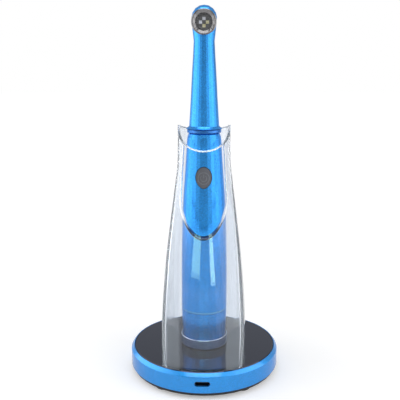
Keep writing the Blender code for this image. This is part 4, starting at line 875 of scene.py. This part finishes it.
node_finish = {
    "shell_blue": ["body_tube", "end_cap", "neck_housing"],
    "plate_black": ["top_plate"],
    "rubber_black": ["foot_1", "foot_2", "foot_3", "foot_4", "window_seal", "head_lead"],
    "seal_painted_highlight": ["end_cap_seal"],
    "button_rubber": ["power_button"],
    "cover_black": ["bottom_cover", "charge_controller", "tact_switch"],
    "steel": ["head_bezel"],
    "screw_steel": ["base_screw_1", "base_screw_2", "base_screw_3", "base_screw_4"],
    "port_steel": ["usb_port_shell"],
    "port_black": ["usb_port_tongue"],
    "board_green": ["charger_board", "control_board"],
    "ferrite": ["transmit_ferrite", "receive_ferrite", "power_inductor"],
    "coil_copper": ["transmit_coil", "receive_coil"],
    "spring_metal": ["battery_spring", "contact_plate"],
    "carrier_grey": ["coil_carrier", "battery_carrier", "swivel_bush"],
    "cell_wrap": ["battery_cell"],
    "lamp_glass": ["lens_window"],
    "reflector": ["reflector"],
    "lamp_board": ["led_board"],
    "lamp_chip": ["led_chip_right", "led_chip_bottom"],
    "lamp_die": ["led_chip_top", "led_chip_left"],
    "shaft_steel": ["swivel_shaft", "retaining_ring"],
    "spreader_copper": ["heat_spreader"],
}
for finish, names in node_finish.items():
    for name in names:
        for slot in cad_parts[name].material_slots:
            slot.material = finishes[finish]

holder = make_holder(acrylic("holder_acrylic"), acrylic("holder_lip_painted_shade", lip=True))
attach(holder, "base")
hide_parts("holder")

rim = make_rim(finishes["rim_blue"])
dock = square_ring("dock_band", DOCK_RING, (GAP, DOCK_RING_HEIGHT), DOCK_SOFT, finishes["dock_painted_blue_reflection"])
# painted highlight on the dock ring's top outer edge
highlight_from = DOCK_RING[1] - DOCK_HIGHLIGHT_BAND[0], PLATE + DOCK_RING_HEIGHT - DOCK_HIGHLIGHT_BAND[1]
paint_edge_highlight(dock, *highlight_from, finishes["dock_edge_painted_highlight"])
collar = square_ring("collar_band", COLLAR, COLLAR_HEIGHTS, COLLAR_SOFT, finishes["collar_blue"])
for piece, node, body, slot in (
    (rim, "base_rim", "base", "blue_rim"),
    (dock, "dock_ring", "base", "black_gloss"),
    (collar, "collar_ring", "handset", "dark_blue_ring"),
):
    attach(piece, body)
    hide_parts(node)

symbol = make_symbol(finishes["symbol_rubber"])
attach(symbol, "button")

# --- Studio ----------------------------------------------------------------------------------------------

ROOM = 0.45  # how bright the room is, where 1 is white, as light on the object
MIRROR_BEHIND = 0.55  # and as a mirror shows it: behind the object, and in front below, ahead and above
MIRROR_BELOW = 0.48
MIRROR_AHEAD = 0.72
MIRROR_ABOVE = 0.2
MIRROR_RISE = (0.04, 0.13)  # below turns into ahead as a direction's Z goes from one to the other,
MIRROR_FALL = (0.135, 0.19)  # ahead into above,
MIRROR_TURN = (-0.4, 0.5)  # and the front into what is behind, as its Y does
FLOOR_RADII = (0.05, 0.3, 1.5, 6.0)
FLOOR_SIDES = 48
FLOOR_GREYS = ((0.74, 0.74, 0.74), (0.76, 0.76, 0.76))
FLOOR_GLOW = (0.32, 0.68)  # at the object and this far away: with its own shade it comes to white
FLOOR_GLOW_REACH = 0.75
FLOOR_MIRRORED = (0.14, 0.6)  # its glow in a mirror, at these places behind the object
FLOOR_MIRRORED_FROM = (0.05, 0.6)
SIDE_BOX_AWAY = 0.42
SIDE_BOX_TALL = 0.56
STRIP_AWAY = 0.7
STRIP_AIM = 75.0 * MM
WHITE = (1.0, 1.0, 1.0)


def make_world():
    """White to the camera and through clear things. A mirror shows a dimmer room, brightest low in front."""
    world = bpy.data.worlds.new("studio")
    bpy.context.scene.world = world
    world.use_nodes = True
    n = Tree(world.node_tree, "Generated")
    sky = n.tree.nodes["Background"]
    n.feed(sky.inputs["Color"], WHITE)
    rising = n.remap(n.axis("Z"), *MIRROR_RISE, MIRROR_BELOW, MIRROR_AHEAD)
    front = n.remap(n.axis("Z"), *MIRROR_FALL, rising, MIRROR_ABOVE)
    mirrored = n.remap(n.axis("Y"), *MIRROR_TURN, front, MIRROR_BEHIND, interpolation_type="SMOOTHSTEP")
    n.feed(sky.inputs["Strength"], n.by_ray(ROOM, mirrored, 1.0))


def make_floor():
    """A pale floor that glows up to white but keeps the object's shadow. A mirror shows it darker."""
    n = Nodes("floor")
    n.set(Base_Color=n.blend(n.noise(40.0), *FLOOR_GREYS), Roughness=0.9)
    n.set(Specular_IOR_Level=0.0, Emission_Color=WHITE)
    away = n.add("ShaderNodeVectorMath", operation="LENGTH")
    n.feed(away.inputs[0], n.place)
    seen = n.remap(away.outputs["Value"], 0.0, FLOOR_GLOW_REACH, *FLOOR_GLOW)
    mirrored = n.remap(n.axis("Y"), *FLOOR_MIRRORED_FROM, *FLOOR_MIRRORED)
    n.set(Emission_Strength=n.by_ray(0.0, mirrored, seen))
    bm = bmesh.new()
    rings = circles(bm, [(radius, 0.0) for radius in FLOOR_RADII], FLOOR_SIDES)
    bm.faces.new(rings[0])
    for first, second in zip(rings, rings[1:]):
        skin(bm, first, second)
    floor = link("floor", bm, n.material)
    if floor.data.polygons[0].normal.z < 0:
        floor.data.flip_normals()


def softbox(name, place, target, width, height, level, colour=WHITE):
    """A rectangular lamp whose face has this brightness, where 1 is white."""
    lamp = bpy.data.lights.new(name, "AREA")
    lamp.shape = "RECTANGLE"
    lamp.size = width
    lamp.size_y = height
    lamp.energy = level * math.pi * width * height
    lamp.color = colour
    obj = bpy.data.objects.new(name, lamp)
    obj.location = place
    obj.rotation_euler = (Vector(target) - Vector(place)).to_track_quat("-Z", "Y").to_euler()
    obj.visible_camera = False
    bpy.context.scene.collection.objects.link(obj)
    return obj


def side_box(name, first, last, level):
    """A tall softbox beside the object, from one direction to another in degrees from the front."""
    turn = math.radians((first + last) / 2)
    middle = SIDE_BOX_TALL / 2
    place = (SIDE_BOX_AWAY * math.sin(turn), -SIDE_BOX_AWAY * math.cos(turn), middle)
    width = 2 * SIDE_BOX_AWAY * math.tan(math.radians(abs(last - first) / 2))
    softbox(name, place, (0.0, 0.0, middle), width, SIDE_BOX_TALL, level)


def only(name, pieces):
    """A collection of the pieces that a lamp lights."""
    made = bpy.data.collections.new(name)
    for piece in pieces:
        made.objects.link(piece)
    return made


def strip(name, turn, rise, wide, high, level, colour, lit):
    """A small softbox in front, for some pieces only: its middle's direction and its size, in degrees."""
    target = Vector((0.0, 0.0, STRIP_AIM))
    turn, rise = math.radians(turn), math.radians(rise)
    way = Vector((math.sin(turn) * math.cos(rise), -math.cos(turn) * math.cos(rise), math.sin(rise)))
    width, height = (2 * STRIP_AWAY * math.tan(math.radians(size / 2)) for size in (wide, high))
    lamp = softbox(name, target + way * STRIP_AWAY, target, width, height, level, colour)
    lamp.light_linking.receiver_collection = lit


make_world()
make_floor()
softbox("above", (0.0, -0.05, 0.75), (0.0, 0.0, 0.0), 0.5, 0.4, 1.6)
for name, first, last, level in (
    ("left_1", -68.0, -116.0, 0.45),
    ("left_2", -54.0, -120.0, 0.45),
    ("left_3", -42.0, -124.0, 0.4),
    ("left_4", -30.0, -126.0, 0.3),
    ("right_inner", 52.0, 98.0, 0.6),
    ("right_middle", 38.0, 100.0, 0.52),
    ("right_outer", 22.0, 102.0, 0.4),
):
    side_box(name, first, last, level)
clear_things = only("clear_things", [holder])
whole = only("whole", [holder, rim, dock, collar, symbol, *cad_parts.values()])
head_top = only("head_top", [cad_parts["neck_housing"]])
strip("strip_left", -17.0, 18.0, 18.0, 13.0, 4.2, (0.5, 1.0, 0.8), clear_things)
strip("strip_right", 19.0, 17.0, 9.0, 16.0, 6.4, (0.6, 1.0, 0.75), clear_things)
strip("high_front", 0.0, 55.0, 44.0, 28.0, 2.4, WHITE, whole)
strip("head_front", 0.0, 66.0, 80.0, 44.0, 2.2, (1.0, 0.82, 0.7), head_top)

# --- Camera ----------------------------------------------------------------------------------------------

CAMERA_AWAY = 0.355  # from the object's axis
CAMERA_HEIGHT = 0.17484
CAMERA_SWING = math.radians(1.4)  # to the right of straight ahead
CAMERA_DIP = math.radians(11.455)  # below level
camera = bpy.data.cameras.new("camera")
camera.sensor_width = 36.0
camera.lens = 55.68
camera.shift_x = -0.0105
camera.clip_start = 0.01
eye = bpy.data.objects.new("camera", camera)
eye.location = (CAMERA_AWAY * math.sin(CAMERA_SWING), -CAMERA_AWAY * math.cos(CAMERA_SWING), CAMERA_HEIGHT)
eye.rotation_euler = (math.pi / 2 - CAMERA_DIP, 0.0, CAMERA_SWING)
bpy.context.scene.collection.objects.link(eye)
bpy.context.scene.camera = eye
bpy.context.scene.view_settings.view_transform = "Standard"
bpy.context.scene.cycles.max_bounces = 24
bpy.context.scene.cycles.glossy_bounces = 16
bpy.context.scene.cycles.transmission_bounces = 24

bpy.context.view_layer.update()
